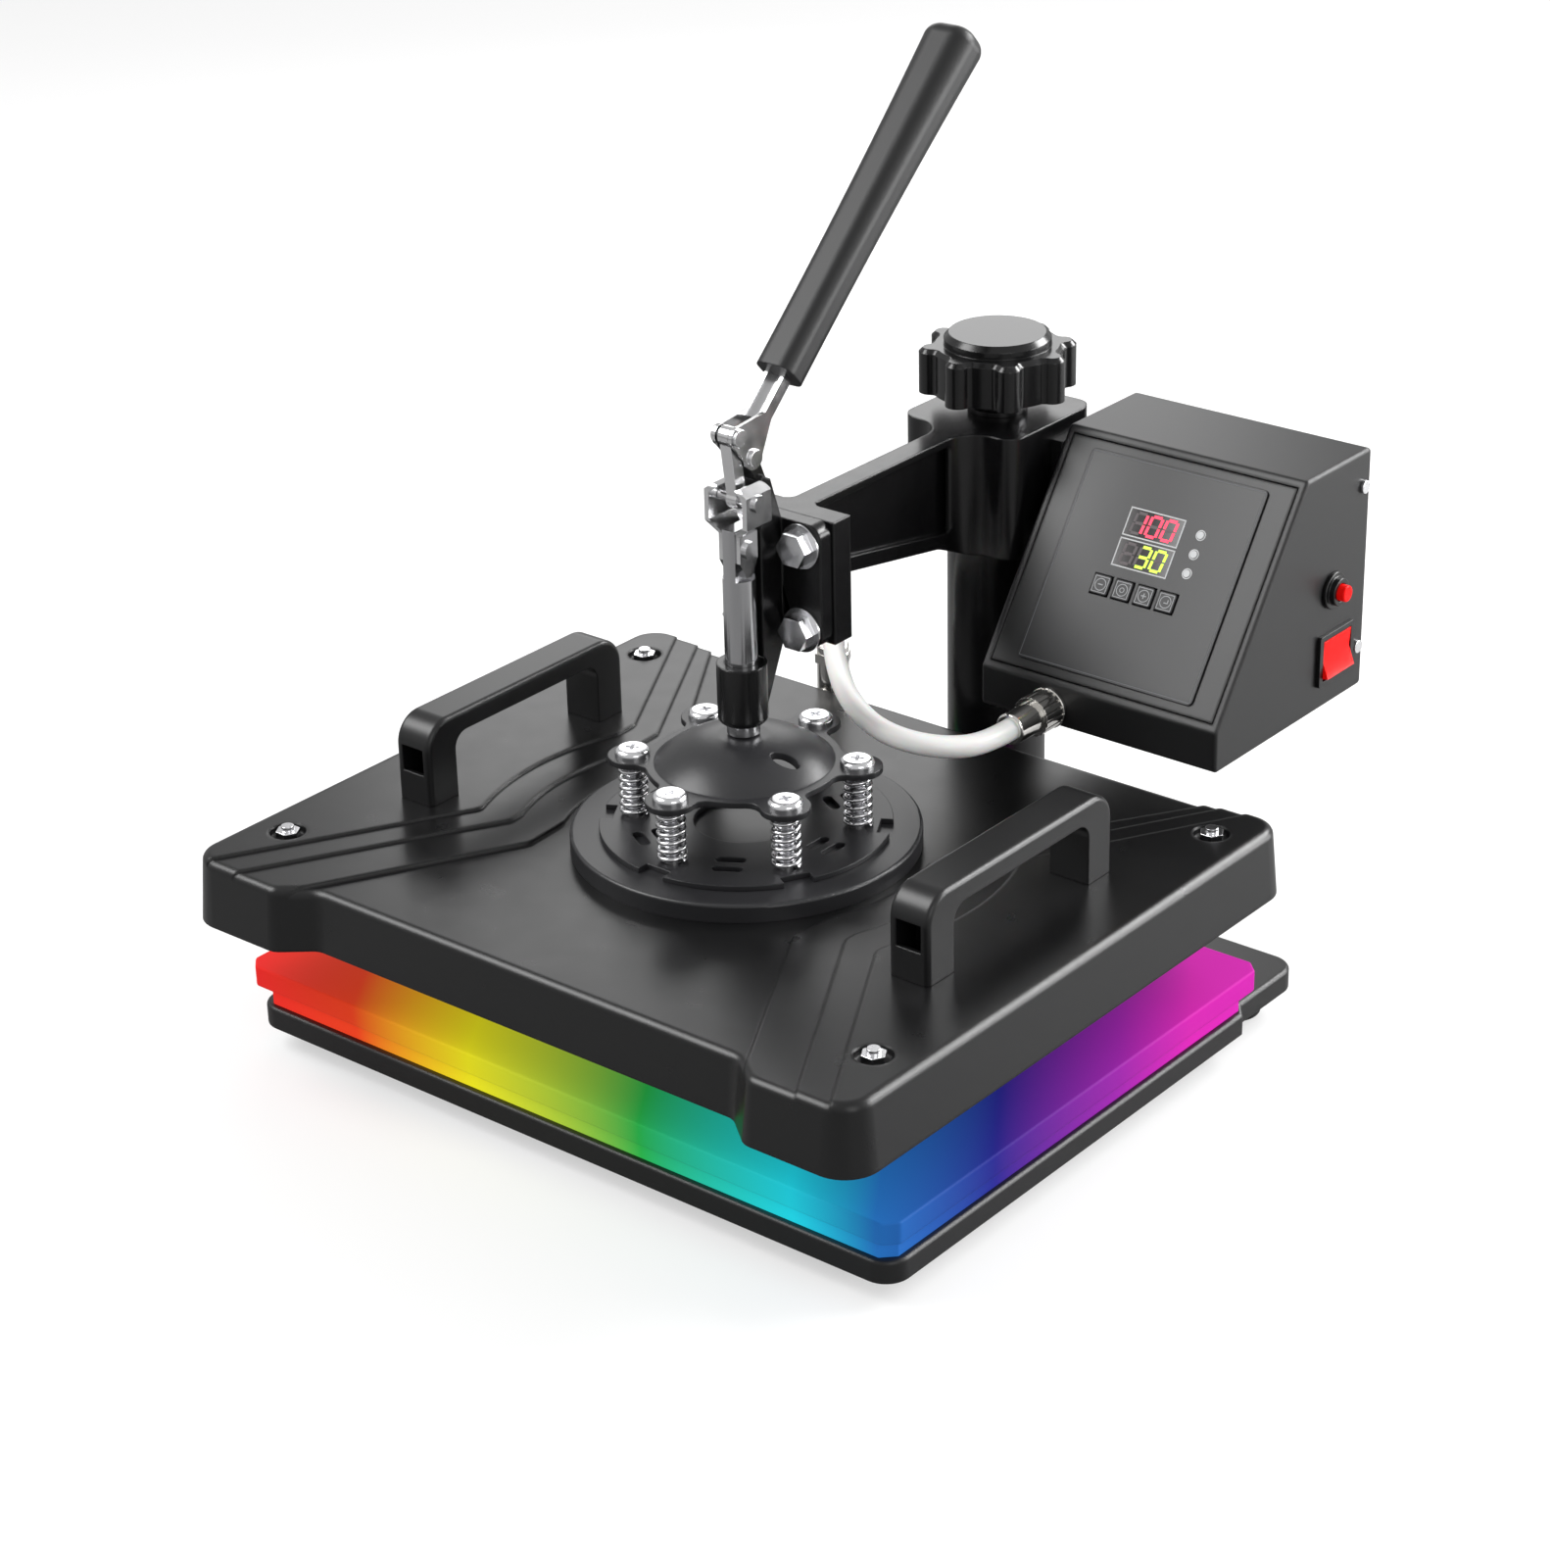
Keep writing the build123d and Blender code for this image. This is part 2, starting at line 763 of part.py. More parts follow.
# a pressed steel channel: two cheeks that widen round the pins, joined by a back
with BuildPart() as lever_channel:
    with BuildSketch(right_face(-channel_half)):
        with BuildLine():
            Polyline(
                on_lever(channel_end, -half_depth),
                on_lever(channel_end, half_depth),
                on_lever(14, half_depth),
                (pivot_y + 5.4, pivot_z - 0.6),
                (pivot_y - 1.5, pivot_z - 5.2),
                (upper_pin_y - 4.6, upper_pin_z - 1.9),
                (upper_pin_y + 1, upper_pin_z + 4.9),
                on_lever(14, -half_depth),
                close=True,
            )
        make_face()
        with Locations((pivot_y, pivot_z)):
            Circle(5.4)
        with Locations((upper_pin_y, upper_pin_z)):
            Circle(5)
    extrude(amount=2 * channel_half)
    with BuildSketch(right_face(-channel_inner)):
        with BuildLine():
            Polyline(
                on_lever(channel_end, -half_depth - 1),
                on_lever(channel_end, half_depth - channel_sheet),
                on_lever(12, half_depth - channel_sheet),
                on_lever(9, half_depth + 4),
                on_lever(-14, half_depth + 14),
                on_lever(-24, -half_depth - 20),
                on_lever(10, -half_depth - 20),
                close=True,
            )
        make_face()
    extrude(amount=2 * channel_inner, mode=Mode.SUBTRACT)
    with BuildSketch(right_face(-channel_half)):
        with Locations((pivot_y, pivot_z), (upper_pin_y, upper_pin_z)):
            Circle(pin_radius)
    extrude(amount=2 * channel_half, mode=Mode.SUBTRACT)
lever_channel.part.label = "lever_channel"
export_step(lever_channel.part, "parts/lever_channel.step")

# a moulded sleeve over the end of the channel, swelling towards its rounded tip
grip_plane = Plane(
    origin=right_face(0).from_local_coords(Vector(*on_lever(grip_start, 0))),
    x_dir=(1, 0, 0),
    z_dir=(0, along_y, along_z),
)
grip_width = 20.0
grip_depth = 18.0
with BuildPart() as lever_grip:
    with BuildSketch(grip_plane):
        RectangleRounded(grip_width, grip_depth, 6)
    with BuildSketch(grip_plane.offset(grip_length * 0.45)):
        RectangleRounded(grip_width + 1, grip_depth + 1, 7)
    with BuildSketch(grip_plane.offset(grip_length)):
        RectangleRounded(grip_width + 7, grip_depth + 6, 10)
    loft()
    fillet(lever_grip.faces().sort_by(Axis.Z)[-1].edges(), radius=7)
    with BuildSketch(grip_plane):
        Rectangle(2 * channel_half, channel_depth)
        with Locations((0, -channel_sheet / 2)):
            Rectangle(2 * channel_inner, channel_depth - channel_sheet, mode=Mode.SUBTRACT)
    extrude(amount=channel_end - grip_start, mode=Mode.SUBTRACT)
lever_grip.part.label = "lever_grip"
export_step(lever_grip.part, "parts/lever_grip.step")

# rivets: one through the casting's lug, one through the link
with BuildPart() as lever_pins:
    with BuildSketch(right_face(-channel_half - rivet_head_height)):
        with Locations((pivot_y, pivot_z), (upper_pin_y, upper_pin_z)):
            Circle(pin_radius)
    extrude(amount=2 * (channel_half + rivet_head_height))
    for outer_face in (channel_half, -channel_half - rivet_head_height):
        with BuildSketch(right_face(outer_face)):
            with Locations((pivot_y, pivot_z), (upper_pin_y, upper_pin_z)):
                Circle(rivet_head)
        extrude(amount=rivet_head_height)
lever_pins.part.label = "lever_pins"
export_step(lever_pins.part, "parts/lever_pins.step")

with BuildPart() as toggle_link:
    with BuildSketch(right_face(-link_half)):
        with BuildLine():
            Polyline(
                (upper_pin_y - link_waist, upper_pin_z),
                (upper_pin_y + link_waist, upper_pin_z),
                (link_waist, clevis_pin_z),
                (-link_waist, clevis_pin_z),
                close=True,
            )
        make_face()
        with Locations((upper_pin_y, upper_pin_z), (0, clevis_pin_z)):
            Circle(link_eye)
        with Locations((upper_pin_y, upper_pin_z)):
            Circle(pin_radius + fit / 2, mode=Mode.SUBTRACT)
        with Locations((0, clevis_pin_z)):
            Circle(pin_radius, mode=Mode.SUBTRACT)
    extrude(amount=2 * link_half)
toggle_link.part.label = "toggle_link"
export_step(toggle_link.part, "parts/toggle_link.step")

clevis_inner = clevis_half - clevis_sheet
with BuildPart() as clevis_pin:
    with BuildSketch(right_face(-clevis_inner + running_gap)):
        with Locations((0, clevis_pin_z)):
            Circle(pin_radius)
    extrude(amount=2 * (clevis_inner - running_gap))
clevis_pin.part.label = "clevis_pin"
export_step(clevis_pin.part, "parts/clevis_pin.step")

# the clevis: two bent straps that flare from the plunger's blade into cheeks and close again above
tongue_inner = blade_half
tongue_outer = tongue_inner + clevis_sheet
tongue_length = 23.0
tongue_half = 6.0
tongue_rivet_drop = 10.0
tongue_rivet_head = 4.2
tongue_rivet_proud = 1.6
tongue_bottom = plunger_top - tongue_length
with BuildPart() as plunger_clevis:
    with BuildSketch(front_face(clevis_back)):
        with BuildLine():
            Polyline(
                (tongue_inner, tongue_bottom),
                (tongue_outer, tongue_bottom),
                (tongue_outer, strap_waist),
                (clevis_half, cheek_low),
                (clevis_half, cheek_high),
                (strap_top_half, strap_top),
                (strap_top_half - clevis_sheet, strap_top - strap_bend),
                (clevis_inner, cheek_high - strap_bend),
                (clevis_inner, cheek_low + strap_bend),
                (tongue_inner, strap_waist + strap_bend),
                close=True,
            )
        make_face()
        mirror(about=Plane.YZ)
    extrude(amount=clevis_front + clevis_back)
    with BuildSketch(right_face(-clevis_half)) as cheek_side:
        with BuildLine():
            Polyline(
                (-1.6, tongue_bottom),
                (1.6, tongue_bottom),
                (tongue_half, tongue_bottom + 8),
                (tongue_half, strap_waist),
                (clevis_back, cheek_low),
                (clevis_back, strap_top),
                (-clevis_front, strap_top),
                (-clevis_front, cheek_low),
                (-tongue_half, strap_waist),
                (-tongue_half, tongue_bottom + 8),
                close=True,
            )
        make_face()
        fillet([v for v in cheek_side.vertices() if v.Y > cheek_low - 1], radius=3)
    extrude(amount=2 * clevis_half, mode=Mode.INTERSECT)
    # closed rivet heads outside the cheeks, over the ends of the link's pin
    for outer_face in (clevis_half, -clevis_half - rivet_head_height):
        with BuildSketch(right_face(outer_face)):
            with Locations((0, clevis_pin_z)):
                Circle(rivet_head)
        extrude(amount=rivet_head_height)
    with BuildSketch(right_face(-tongue_outer)):
        with Locations((0, plunger_top - tongue_rivet_drop)):
            Circle(pin_radius)
    extrude(amount=2 * tongue_outer, mode=Mode.SUBTRACT)
plunger_clevis.part.label = "plunger_clevis"
export_step(plunger_clevis.part, "parts/plunger_clevis.step")

with BuildPart() as clevis_rivet:
    with BuildSketch(right_face(-tongue_outer - tongue_rivet_proud)):
        with Locations((0, plunger_top - tongue_rivet_drop)):
            Circle(pin_radius)
    extrude(amount=2 * (tongue_outer + tongue_rivet_proud))
    for outer_face in (tongue_outer, -tongue_outer - tongue_rivet_proud):
        with BuildSketch(right_face(outer_face)):
            with Locations((0, plunger_top - tongue_rivet_drop)):
                Circle(tongue_rivet_head)
        extrude(amount=tongue_rivet_proud)
clevis_rivet.part.label = "clevis_rivet"
export_step(clevis_rivet.part, "parts/clevis_rivet.step")

# ================================================================ plunger and spring plate
tail_radius = 5.0
nut_height = 6.0
dome_sheet = 3.0
tail_bottom = dome_top - dome_sheet - nut_height - 2
with BuildPart() as plunger_rod:
    with BuildSketch(level(dome_top)):
        Circle(plunger_radius)
    extrude(amount=plunger_top - dome_top)
    chamfer(plunger_rod.edges().group_by(Axis.Z)[0], length=1)
    with BuildSketch(level(tail_bottom)):
        Circle(tail_radius)
    extrude(amount=dome_top - tail_bottom + 1)
    # the top is milled to a blade that stands between the clevis straps
    with BuildSketch(level(tongue_bottom - 1)):
        Rectangle(3 * plunger_radius, 3 * plunger_radius)
        Rectangle(2 * blade_half, 3 * plunger_radius, mode=Mode.SUBTRACT)
    extrude(amount=tongue_length + 1, mode=Mode.SUBTRACT)
    with BuildSketch(right_face(-plunger_radius)):
        with Locations((0, plunger_top - tongue_rivet_drop)):
            Circle(pin_radius)
    extrude(amount=2 * plunger_radius, mode=Mode.SUBTRACT)
plunger_rod.part.label = "plunger_rod"
export_step(plunger_rod.part, "parts/plunger_rod.step")

with BuildPart() as plunger_nut:
    with BuildSketch(level(dome_top - dome_sheet)):
        RegularPolygon(9, 6)
        Circle(tail_radius, mode=Mode.SUBTRACT)
    extrude(amount=-nut_height)
plunger_nut.part.label = "plunger_nut"
export_step(plunger_nut.part, "parts/plunger_nut.step")

lobed_top = lobed_bottom + lobed_thickness
dome_flat = 11.0
# one pressing: a six-lobed flange round a hollow dome
with BuildPart() as spring_plate:
    with BuildSketch(level(lobed_bottom)) as lobed_outline:
        Circle(lobed_core)
        with PolarLocations(screw_circle, screw_count, start_angle=30):
            Circle(lobe_radius)
        fillet(lobed_outline.vertices(), radius=7)
        with PolarLocations(screw_circle, screw_count, start_angle=30):
            Circle(shoulder_radius + 0.3, mode=Mode.SUBTRACT)
    extrude(amount=lobed_thickness)
    with BuildSketch(right_face(0)):
        with BuildLine():
            Line((0, lobed_bottom), (dome_radius, lobed_bottom))
            Line((dome_radius, lobed_bottom), (dome_radius, lobed_top))
            dome_shoulder = (dome_radius * 0.62, dome_top - 3.4)
            ThreePointArc((dome_radius, lobed_top), dome_shoulder, (dome_flat, dome_top))
            Line((dome_flat, dome_top), (0, dome_top))
            Line((0, dome_top), (0, lobed_bottom))
        make_face()
    revolve(axis=Axis((0, datum_y, 0), (0, 0, 1)))
    with BuildSketch(right_face(0)):
        inner_radius = dome_radius - 4
        inner_top = dome_top - dome_sheet
        with BuildLine():
            Line((0, lobed_bottom - 1), (inner_radius, lobed_bottom - 1))
            Line((inner_radius, lobed_bottom - 1), (inner_radius, lobed_bottom))
            inner_shoulder = (inner_radius * 0.66, inner_top - 4)
            ThreePointArc((inner_radius, lobed_bottom), inner_shoulder, (dome_flat, inner_top))
            Line((dome_flat, inner_top), (0, inner_top))
            Line((0, inner_top), (0, lobed_bottom - 1))
        make_face()
    revolve(axis=Axis((0, datum_y, 0), (0, 0, 1)), mode=Mode.SUBTRACT)
    with BuildSketch(level(lobed_bottom)):
        Circle(tail_radius)
        with Locations(Location((27, -4), 25)):
            Ellipse(6.5, 4)
    extrude(amount=dome_top - lobed_bottom + 1, mode=Mode.SUBTRACT)
spring_plate.part.label = "spring_plate"
export_step(spring_plate.part, "parts/spring_plate.step")

# shoulder screws that hang the head from the spring plate
with BuildPart() as shoulder_screws:
    with BuildSketch(level(disc_top)):
        with PolarLocations(screw_circle, screw_count, start_angle=30):
            Circle(shoulder_radius)
    extrude(amount=lobed_top - disc_top)
    with BuildSketch(level(lobed_top)):
        with PolarLocations(screw_circle, screw_count, start_angle=30):
            Circle(screw_head_radius)
    extrude(amount=screw_head_height)
    fillet(shoulder_screws.edges().group_by(Axis.Z)[-1], radius=screw_head_round)
    with BuildSketch(level(lobed_top + screw_head_height)):
        with PolarLocations(screw_circle, screw_count, start_angle=30):
            Rectangle(recess_length, recess_width)
            Rectangle(recess_width, recess_length)
    extrude(amount=-recess_depth, mode=Mode.SUBTRACT)
shoulder_screws.part.label = "shoulder_screws"
export_step(shoulder_screws.part, "parts/shoulder_screws.step")

# compression springs between the notched plate and the lobes
notched_top = disc_top + notched_thickness
spring_height = lobed_bottom - notched_top
coil_radius = spring_radius - spring_wire / 2
with BuildPart() as spring:
    with BuildLine(Plane.XY.offset(floor_drop + notched_top + spring_wire / 2)) as coil:
        Helix(
            pitch=(spring_height - spring_wire) / spring_coils,
            height=spring_height - spring_wire,
            radius=coil_radius,
        )
    with BuildSketch(Plane(origin=coil.line @ 0, z_dir=coil.line % 0)):
        RegularPolygon(spring_wire / 2, 4, rotation=45)
    sweep(is_frenet=True)

with BuildPart() as pressure_springs:
    with Locations((0, datum_y)):
        with PolarLocations(screw_circle, screw_count, start_angle=30):
            add(spring.part)
pressure_springs.part.label = "pressure_springs"
export_step(pressure_springs.part, "parts/pressure_springs.step")

with BuildPart() as notched_plate:
    with BuildSketch(level(disc_top)):
        Circle(notched_radius)
        with PolarLocations(notch_radius + 10, screw_count, start_angle=30):
            Rectangle(20, 14, mode=Mode.SUBTRACT)
        with PolarLocations(screw_circle, screw_count, start_angle=30):
            Circle(shoulder_radius, mode=Mode.SUBTRACT)
        with PolarLocations(46, screw_count, start_angle=60):
            with Locations((-4.5, 0), (4.5, 0)):
                SlotOverall(14, 5, rotation=90, mode=Mode.SUBTRACT)
        Circle(24, mode=Mode.SUBTRACT)
    extrude(amount=notched_thickness)
notched_plate.part.label = "notched_plate"
export_step(notched_plate.part, "parts/notched_plate.step")

with BuildPart() as mounting_disc:
    with BuildSketch(level(-centre_drop)):
        Circle(disc_radius)
    extrude(amount=disc_top + centre_drop)
    fillet(mounting_disc.edges().group_by(Axis.Z)[-1], radius=1.5)
mounting_disc.part.label = "mounting_disc"
export_step(mounting_disc.part, "parts/mounting_disc.step")

# ================================================================ cover of the heating head
cover_floor = -centre_drop - cover_wall


def cover_block(top, inset):
    """The cover's outline drawn up from the skirt with its draft, to a height, inset from its faces."""
    side_x = cover_half_width - inset
    back_y = cover_back - inset
    wing_y = -wing_front + inset
    centre_y = -cover_front + inset
    with BuildPart() as block:
        with BuildSketch(level(skirt_bottom)) as outline:
            with BuildLine():
                Polyline(
                    (0, centre_y),
                    (recess_half_width - inset / 2, centre_y),
                    (wing_inner - inset / 2, wing_y),
                    (side_x, wing_y),
                    (side_x, back_y),
                    (0, back_y),
                )
                mirror(about=Plane.YZ)
            make_face()
            steps = [v for v in outline.vertices() if abs(v.X) < wing_inner + 1 and abs(v.Y) > 100]
            fillet([v for v in steps if abs(v.X) > 1 and v.Y < 0], radius=9)
            corners = [v for v in outline.vertices() if abs(v.X) > side_x - 1]
            fillet(corners, radius=cover_corner - inset)
        extrude(amount=top - skirt_bottom, taper=cover_draft)
        if inset == 0:
            fillet(block.edges().group_by(Axis.Z)[-1], radius=cover_round)
    return block.part


def terrace(front_x, knee_x, knee_y, round_radius, back_knee_x, back_knee_y, back_x):
    """The hourglass region round the disc that one step of the cover encloses, as a cutting solid."""
    reach = 200.0
    front_run = front_x + (front_x - knee_x) * (reach - 155) / (155 - knee_y)
    back_run = back_x + (back_x - back_knee_x) * (reach - 150) / (150 - back_knee_y)
    with BuildPart() as region:
        with BuildSketch(level(cover_floor - 3)) as shape:
            with BuildLine():
                Polyline(
                    (0, -reach),
                    (front_run, -reach),
                    (knee_x, -knee_y),
                    (back_knee_x, back_knee_y),
                    (back_run, reach),
                    (0, reach),
                )
                mirror(about=Plane.YZ)
            make_face()
            Circle(round_radius)
            inner = [v for v in shape.vertices() if 5 < abs(v.X) and abs(v.Y) < 120]
            fillet(inner, radius=6)
        extrude(amount=40)
    return region.part


centre_front_x = cover_half_width - 65.5
band_front_x = cover_half_width - 37.5
wing_front_x = cover_half_width - 20.0
centre_back_x = cover_half_width - 45.5
band_back_x = cover_half_width - 36.5
wing_back_x = cover_half_width - 22.5
centre_round = disc_radius + 6.5
band_round = disc_radius + 27.5
wing_round = disc_radius + 46.5
centre_region = terrace(centre_front_x, 77, 62, centre_round, 84, 50, centre_back_x)
band_region = terrace(band_front_x, 98, 52, band_round, 105, 60, band_back_x)
wing_region = terrace(wing_front_x, 114, 50, wing_round, 119, 59, wing_back_x)
centre_block = cover_block(-centre_drop, 0)
inner_band = cover_block(-terrace_b_drop, 0) - centre_region
outer_band = cover_block(-terrace_c_drop, 0) - band_region
wings = cover_block(0, 0) - wing_region
inside = cover_block(cover_floor, cover_wall)
bolt_places = [(-bolt_x, -bolt_y), (bolt_x, -bolt_y), (-bolt_x, bolt_y), (bolt_x, bolt_y)]
handle_screw_y = handle_half_length - handle_screw_inset
handle_screw_places = [
    (-handle_x, -handle_screw_y),
    (handle_x, -handle_screw_y),
    (-handle_x, handle_screw_y),
    (handle_x, handle_screw_y),
]
gland_drop = 28.0
gland_foot = 9.0
gland_hex = 9.6
gland_bore_z = gland_top - gland_drop
gland_stub = 5.9

# a cast cover: a flat centre stepped down between two raised wings that carry the handles
plate_bottom = skirt_bottom - plate_proud
plate_top = plate_bottom + plate_thickness
boss_radius = 8.5

with BuildPart() as platen_cover:
    add(centre_block)
    add(inner_band)
    add(outer_band)
    add(wings)
    add(inside, mode=Mode.SUBTRACT)
    with BuildSketch(level(plate_top)):
        with Locations(*bolt_places):
            Circle(boss_radius)
    extrude(amount=cover_floor - plate_top)
    with BuildSketch(level(0)):
        with Locations(*bolt_places):
            Circle(counterbore_radius)
    extrude(amount=-counterbore_depth, mode=Mode.SUBTRACT)
    with BuildSketch(level(0)):
        with Locations(*bolt_places):
            Circle(corner_bolt_radius)
        with Locations(*handle_screw_places):
            Circle(handle_screw_radius)
    extrude(amount=plate_top, mode=Mode.SUBTRACT)
    with BuildSketch(front_face(cover_back - 12)):
        with Locations((gland_x, gland_bore_z)):
            Circle(gland_stub + fit)
    extrude(amount=-16, mode=Mode.SUBTRACT)
platen_cover.part.label = "platen_cover"
export_step(platen_cover.part, "parts/platen_cover.step")

# ================================================================ inside the heating head
bolt_depth = 8.0

with BuildPart() as heating_plate:
    with BuildSketch(level(plate_bottom)):
        RectangleRounded(2 * plate_half_width, 2 * plate_half_depth, 12)
    extrude(amount=plate_thickness)
    chamfer(heating_plate.edges().group_by(Axis.Z)[0], length=0.8)
    with BuildSketch(level(plate_top)):
        with Locations(*bolt_places):
            Circle(corner_bolt_radius)
    extrude(amount=-bolt_depth, mode=Mode.SUBTRACT)
heating_plate.part.label = "heating_plate"
export_step(heating_plate.part, "parts/heating_plate.step")

# a tubular element that lies on the plate in three hairpins
element_z = plate_top + element_radius
with BuildPart() as heating_element:
    with BuildLine(level(element_z)) as element_path:
        FilletPolyline(
            (-120, 105),
            (-120, -105),
            (-40, -105),
            (-40, 95),
            (40, 95),
            (40, -105),
            (120, -105),
            (120, 105),
            radius=30,
        )
    with BuildSketch(Plane(origin=element_path.line @ 0, z_dir=element_path.line % 0)):
        Circle(element_radius)
    sweep()
heating_element.part.label = "heating_element"
export_step(heating_element.part, "parts/heating_element.step")

board_bottom = element_z + element_radius
with BuildPart() as insulation_board:
    with BuildSketch(level(board_bottom)):
        Rectangle(2 * (bolt_x - 12), 2 * (bolt_y + 8))
    extrude(amount=board_thickness)
insulation_board.part.label = "insulation_board"
export_step(insulation_board.part, "parts/insulation_board.step")

with BuildPart() as corner_bolts:
    with BuildSketch(level(plate_top - bolt_depth)):
        with Locations(*bolt_places):
            Circle(corner_bolt_radius)
    extrude(amount=bolt_depth - plate_top - counterbore_depth)
    with BuildSketch(level(-counterbore_depth)):
        with Locations(*bolt_places):
            RegularPolygon(corner_nut, 6)
    extrude(amount=corner_nut_height)
    with BuildSketch(level(-counterbore_depth + corner_nut_height)):
        with Locations(*bolt_places):
            Circle(corner_bolt_radius)
    extrude(amount=corner_thread_proud)
corner_bolts.part.label = "corner_bolts"
export_step(corner_bolts.part, "parts/corner_bolts.step")

# ================================================================ handles
pocket_top = 32.0
pocket_wall = 2.5
pocket_deep = 14.5
lip_height = 15.0


def handle(center_x):
    """A moulded bow handle; each leg is open at its end so that its screw can be reached."""
    inner_half = handle_half_length - handle_leg
    with BuildPart() as bow:
        with BuildSketch(right_face(center_x - handle_width / 2)) as side_view:
            Rectangle(2 * handle_half_length, handle_height, align=(Align.CENTER, Align.MIN))
            top = [v for v in side_view.vertices() if v.Y > 1]
            fillet(top, radius=handle_round)
        extrude(amount=handle_width)
        fillet(bow.edges().filter_by(Axis.X, reverse=True).group_by(Axis.Z)[-1], radius=2.5)
        with BuildSketch(right_face(center_x - handle_width / 2)) as opening:
            with Locations((0, -5)):
                Rectangle(
                    2 * inner_half,
                    handle_height - handle_bar + 5,
                    align=(Align.CENTER, Align.MIN),
                )
            fillet([v for v in opening.vertices() if v.Y > 1], radius=8)
        extrude(amount=handle_width, mode=Mode.SUBTRACT)
        for end in (-1, 1):
            outer = end * handle_half_length
            with BuildSketch(front_face(outer - end * pocket_wall)):
                with Locations((center_x, handle_floor)):
                    Rectangle(
                        handle_width - 2 * pocket_wall - 3,
                        pocket_top - 2 * handle_floor,
                        align=(Align.CENTER, Align.MIN),
                    )
            extrude(amount=end * (pocket_deep - pocket_wall), mode=Mode.SUBTRACT)
            with BuildSketch(front_face(outer)):
                with Locations((center_x, lip_height)):
                    Rectangle(
                        handle_width - 2 * pocket_wall - 3,
                        pocket_top - lip_height - handle_floor,
                        align=(Align.CENTER, Align.MIN),
                    )
            extrude(amount=end * (pocket_wall + 1), mode=Mode.SUBTRACT)
            with BuildSketch(level(0)):
                with Locations((center_x, end * handle_screw_y)):
                    Circle(handle_screw_radius)
            extrude(amount=handle_floor + 1, mode=Mode.SUBTRACT)
    return bow.part


left_handle = handle(-handle_x)
left_handle.label = "left_handle"
export_step(left_handle, "parts/left_handle.step")
right_handle = handle(handle_x)
right_handle.label = "right_handle"
export_step(right_handle, "parts/right_handle.step")

with BuildPart() as handle_screws:
    with BuildSketch(level(cover_floor + 0.5)):
        with Locations(*handle_screw_places):
            Circle(handle_screw_radius)
    extrude(amount=handle_floor - cover_floor - 0.5)
    with BuildSketch(level(handle_floor)):
        with Locations(*handle_screw_places):
            Circle(handle_screw_head)
    extrude(amount=handle_screw_head_height)
handle_screws.part.label = "handle_screws"
export_step(handle_screws.part, "parts/handle_screws.step")

# ================================================================ cable gland on the cover's back
with BuildPart() as cable_gland:
    with BuildSketch(level(gland_bore_z - gland_foot)):
        with Locations((gland_x, gland_y)):
            Circle(gland_radius)
    extrude(amount=gland_top - gland_bore_z + gland_foot)
    fillet(cable_gland.edges().group_by(Axis.Z)[-1], radius=1)
    with BuildSketch(level(gland_top - gland_foot)):
        with Locations((gland_x, gland_y)):
            RegularPolygon(gland_hex, 6)
    extrude(amount=5)
    with BuildSketch(front_face(gland_y)):
        with Locations((gland_x, gland_bore_z)):
            Circle(gland_stub)
    extrude(amount=gland_y - cover_back + cover_wall + 8)
    with BuildSketch(level(gland_top)):
        with Locations((gland_x, gland_y)):
            Circle(cable_radius + running_gap)
    extrude(amount=-gland_bore_depth, mode=Mode.SUBTRACT)
cable_gland.part.label = "cable_gland"
export_step(cable_gland.part, "parts/cable_gland.step")

# ================================================================ control box
slope_plane = Plane(
    origin=(0, datum_y + box_front, floor_drop + lip_top),
    x_dir=(1, 0, 0),
    z_dir=(0, lip_top - arm_top, slope_top_y - box_front),
)
slope_length = math.hypot(slope_top_y - box_front, arm_top - lip_top)
box_middle = (box_left + box_right) / 2
box_width = box_right - box_left
panel_margin = 3.5
panel_gap = 0.6
panel_flange = 1.5
panel_back = box_sheet + panel_flange
panel_u = slope_length / 2
panel_length = slope_length - 2 * panel_margin
back_sheet = 1.5
back_gap = 1.0
back_flange = 9.0
side_screw_radius = 1.6
side_screw_head = 3.2
side_screw_inset = 6.0
side_screw_low = 50.0
side_screw_high = 130.0
side_screw_places = [
    (box_back - side_screw_inset, side_screw_low),
    (box_back - side_screw_inset, side_screw_high),
]
socket_barrel = 6.5
reset_y = 221.5
reset_z = 86.5
reset_radius = 9.0
rocker_y = 225.0
rocker_z = 53.5
rocker_length = 30.0
rocker_width = 25.5
inlet_x = 105.0
inlet_z = 62.0
inlet_width = 30.0
inlet_height = 23.0
inlet_pins = [(inlet_x - 7, inlet_z - 2), (inlet_x, inlet_z + 3), (inlet_x + 7, inlet_z - 2)]


side_view = [
    (box_front, box_bottom),
    (box_front, lip_top),
    (slope_top_y, arm_top),
    (box_back, arm_top),
    (box_back, box_bottom),
]

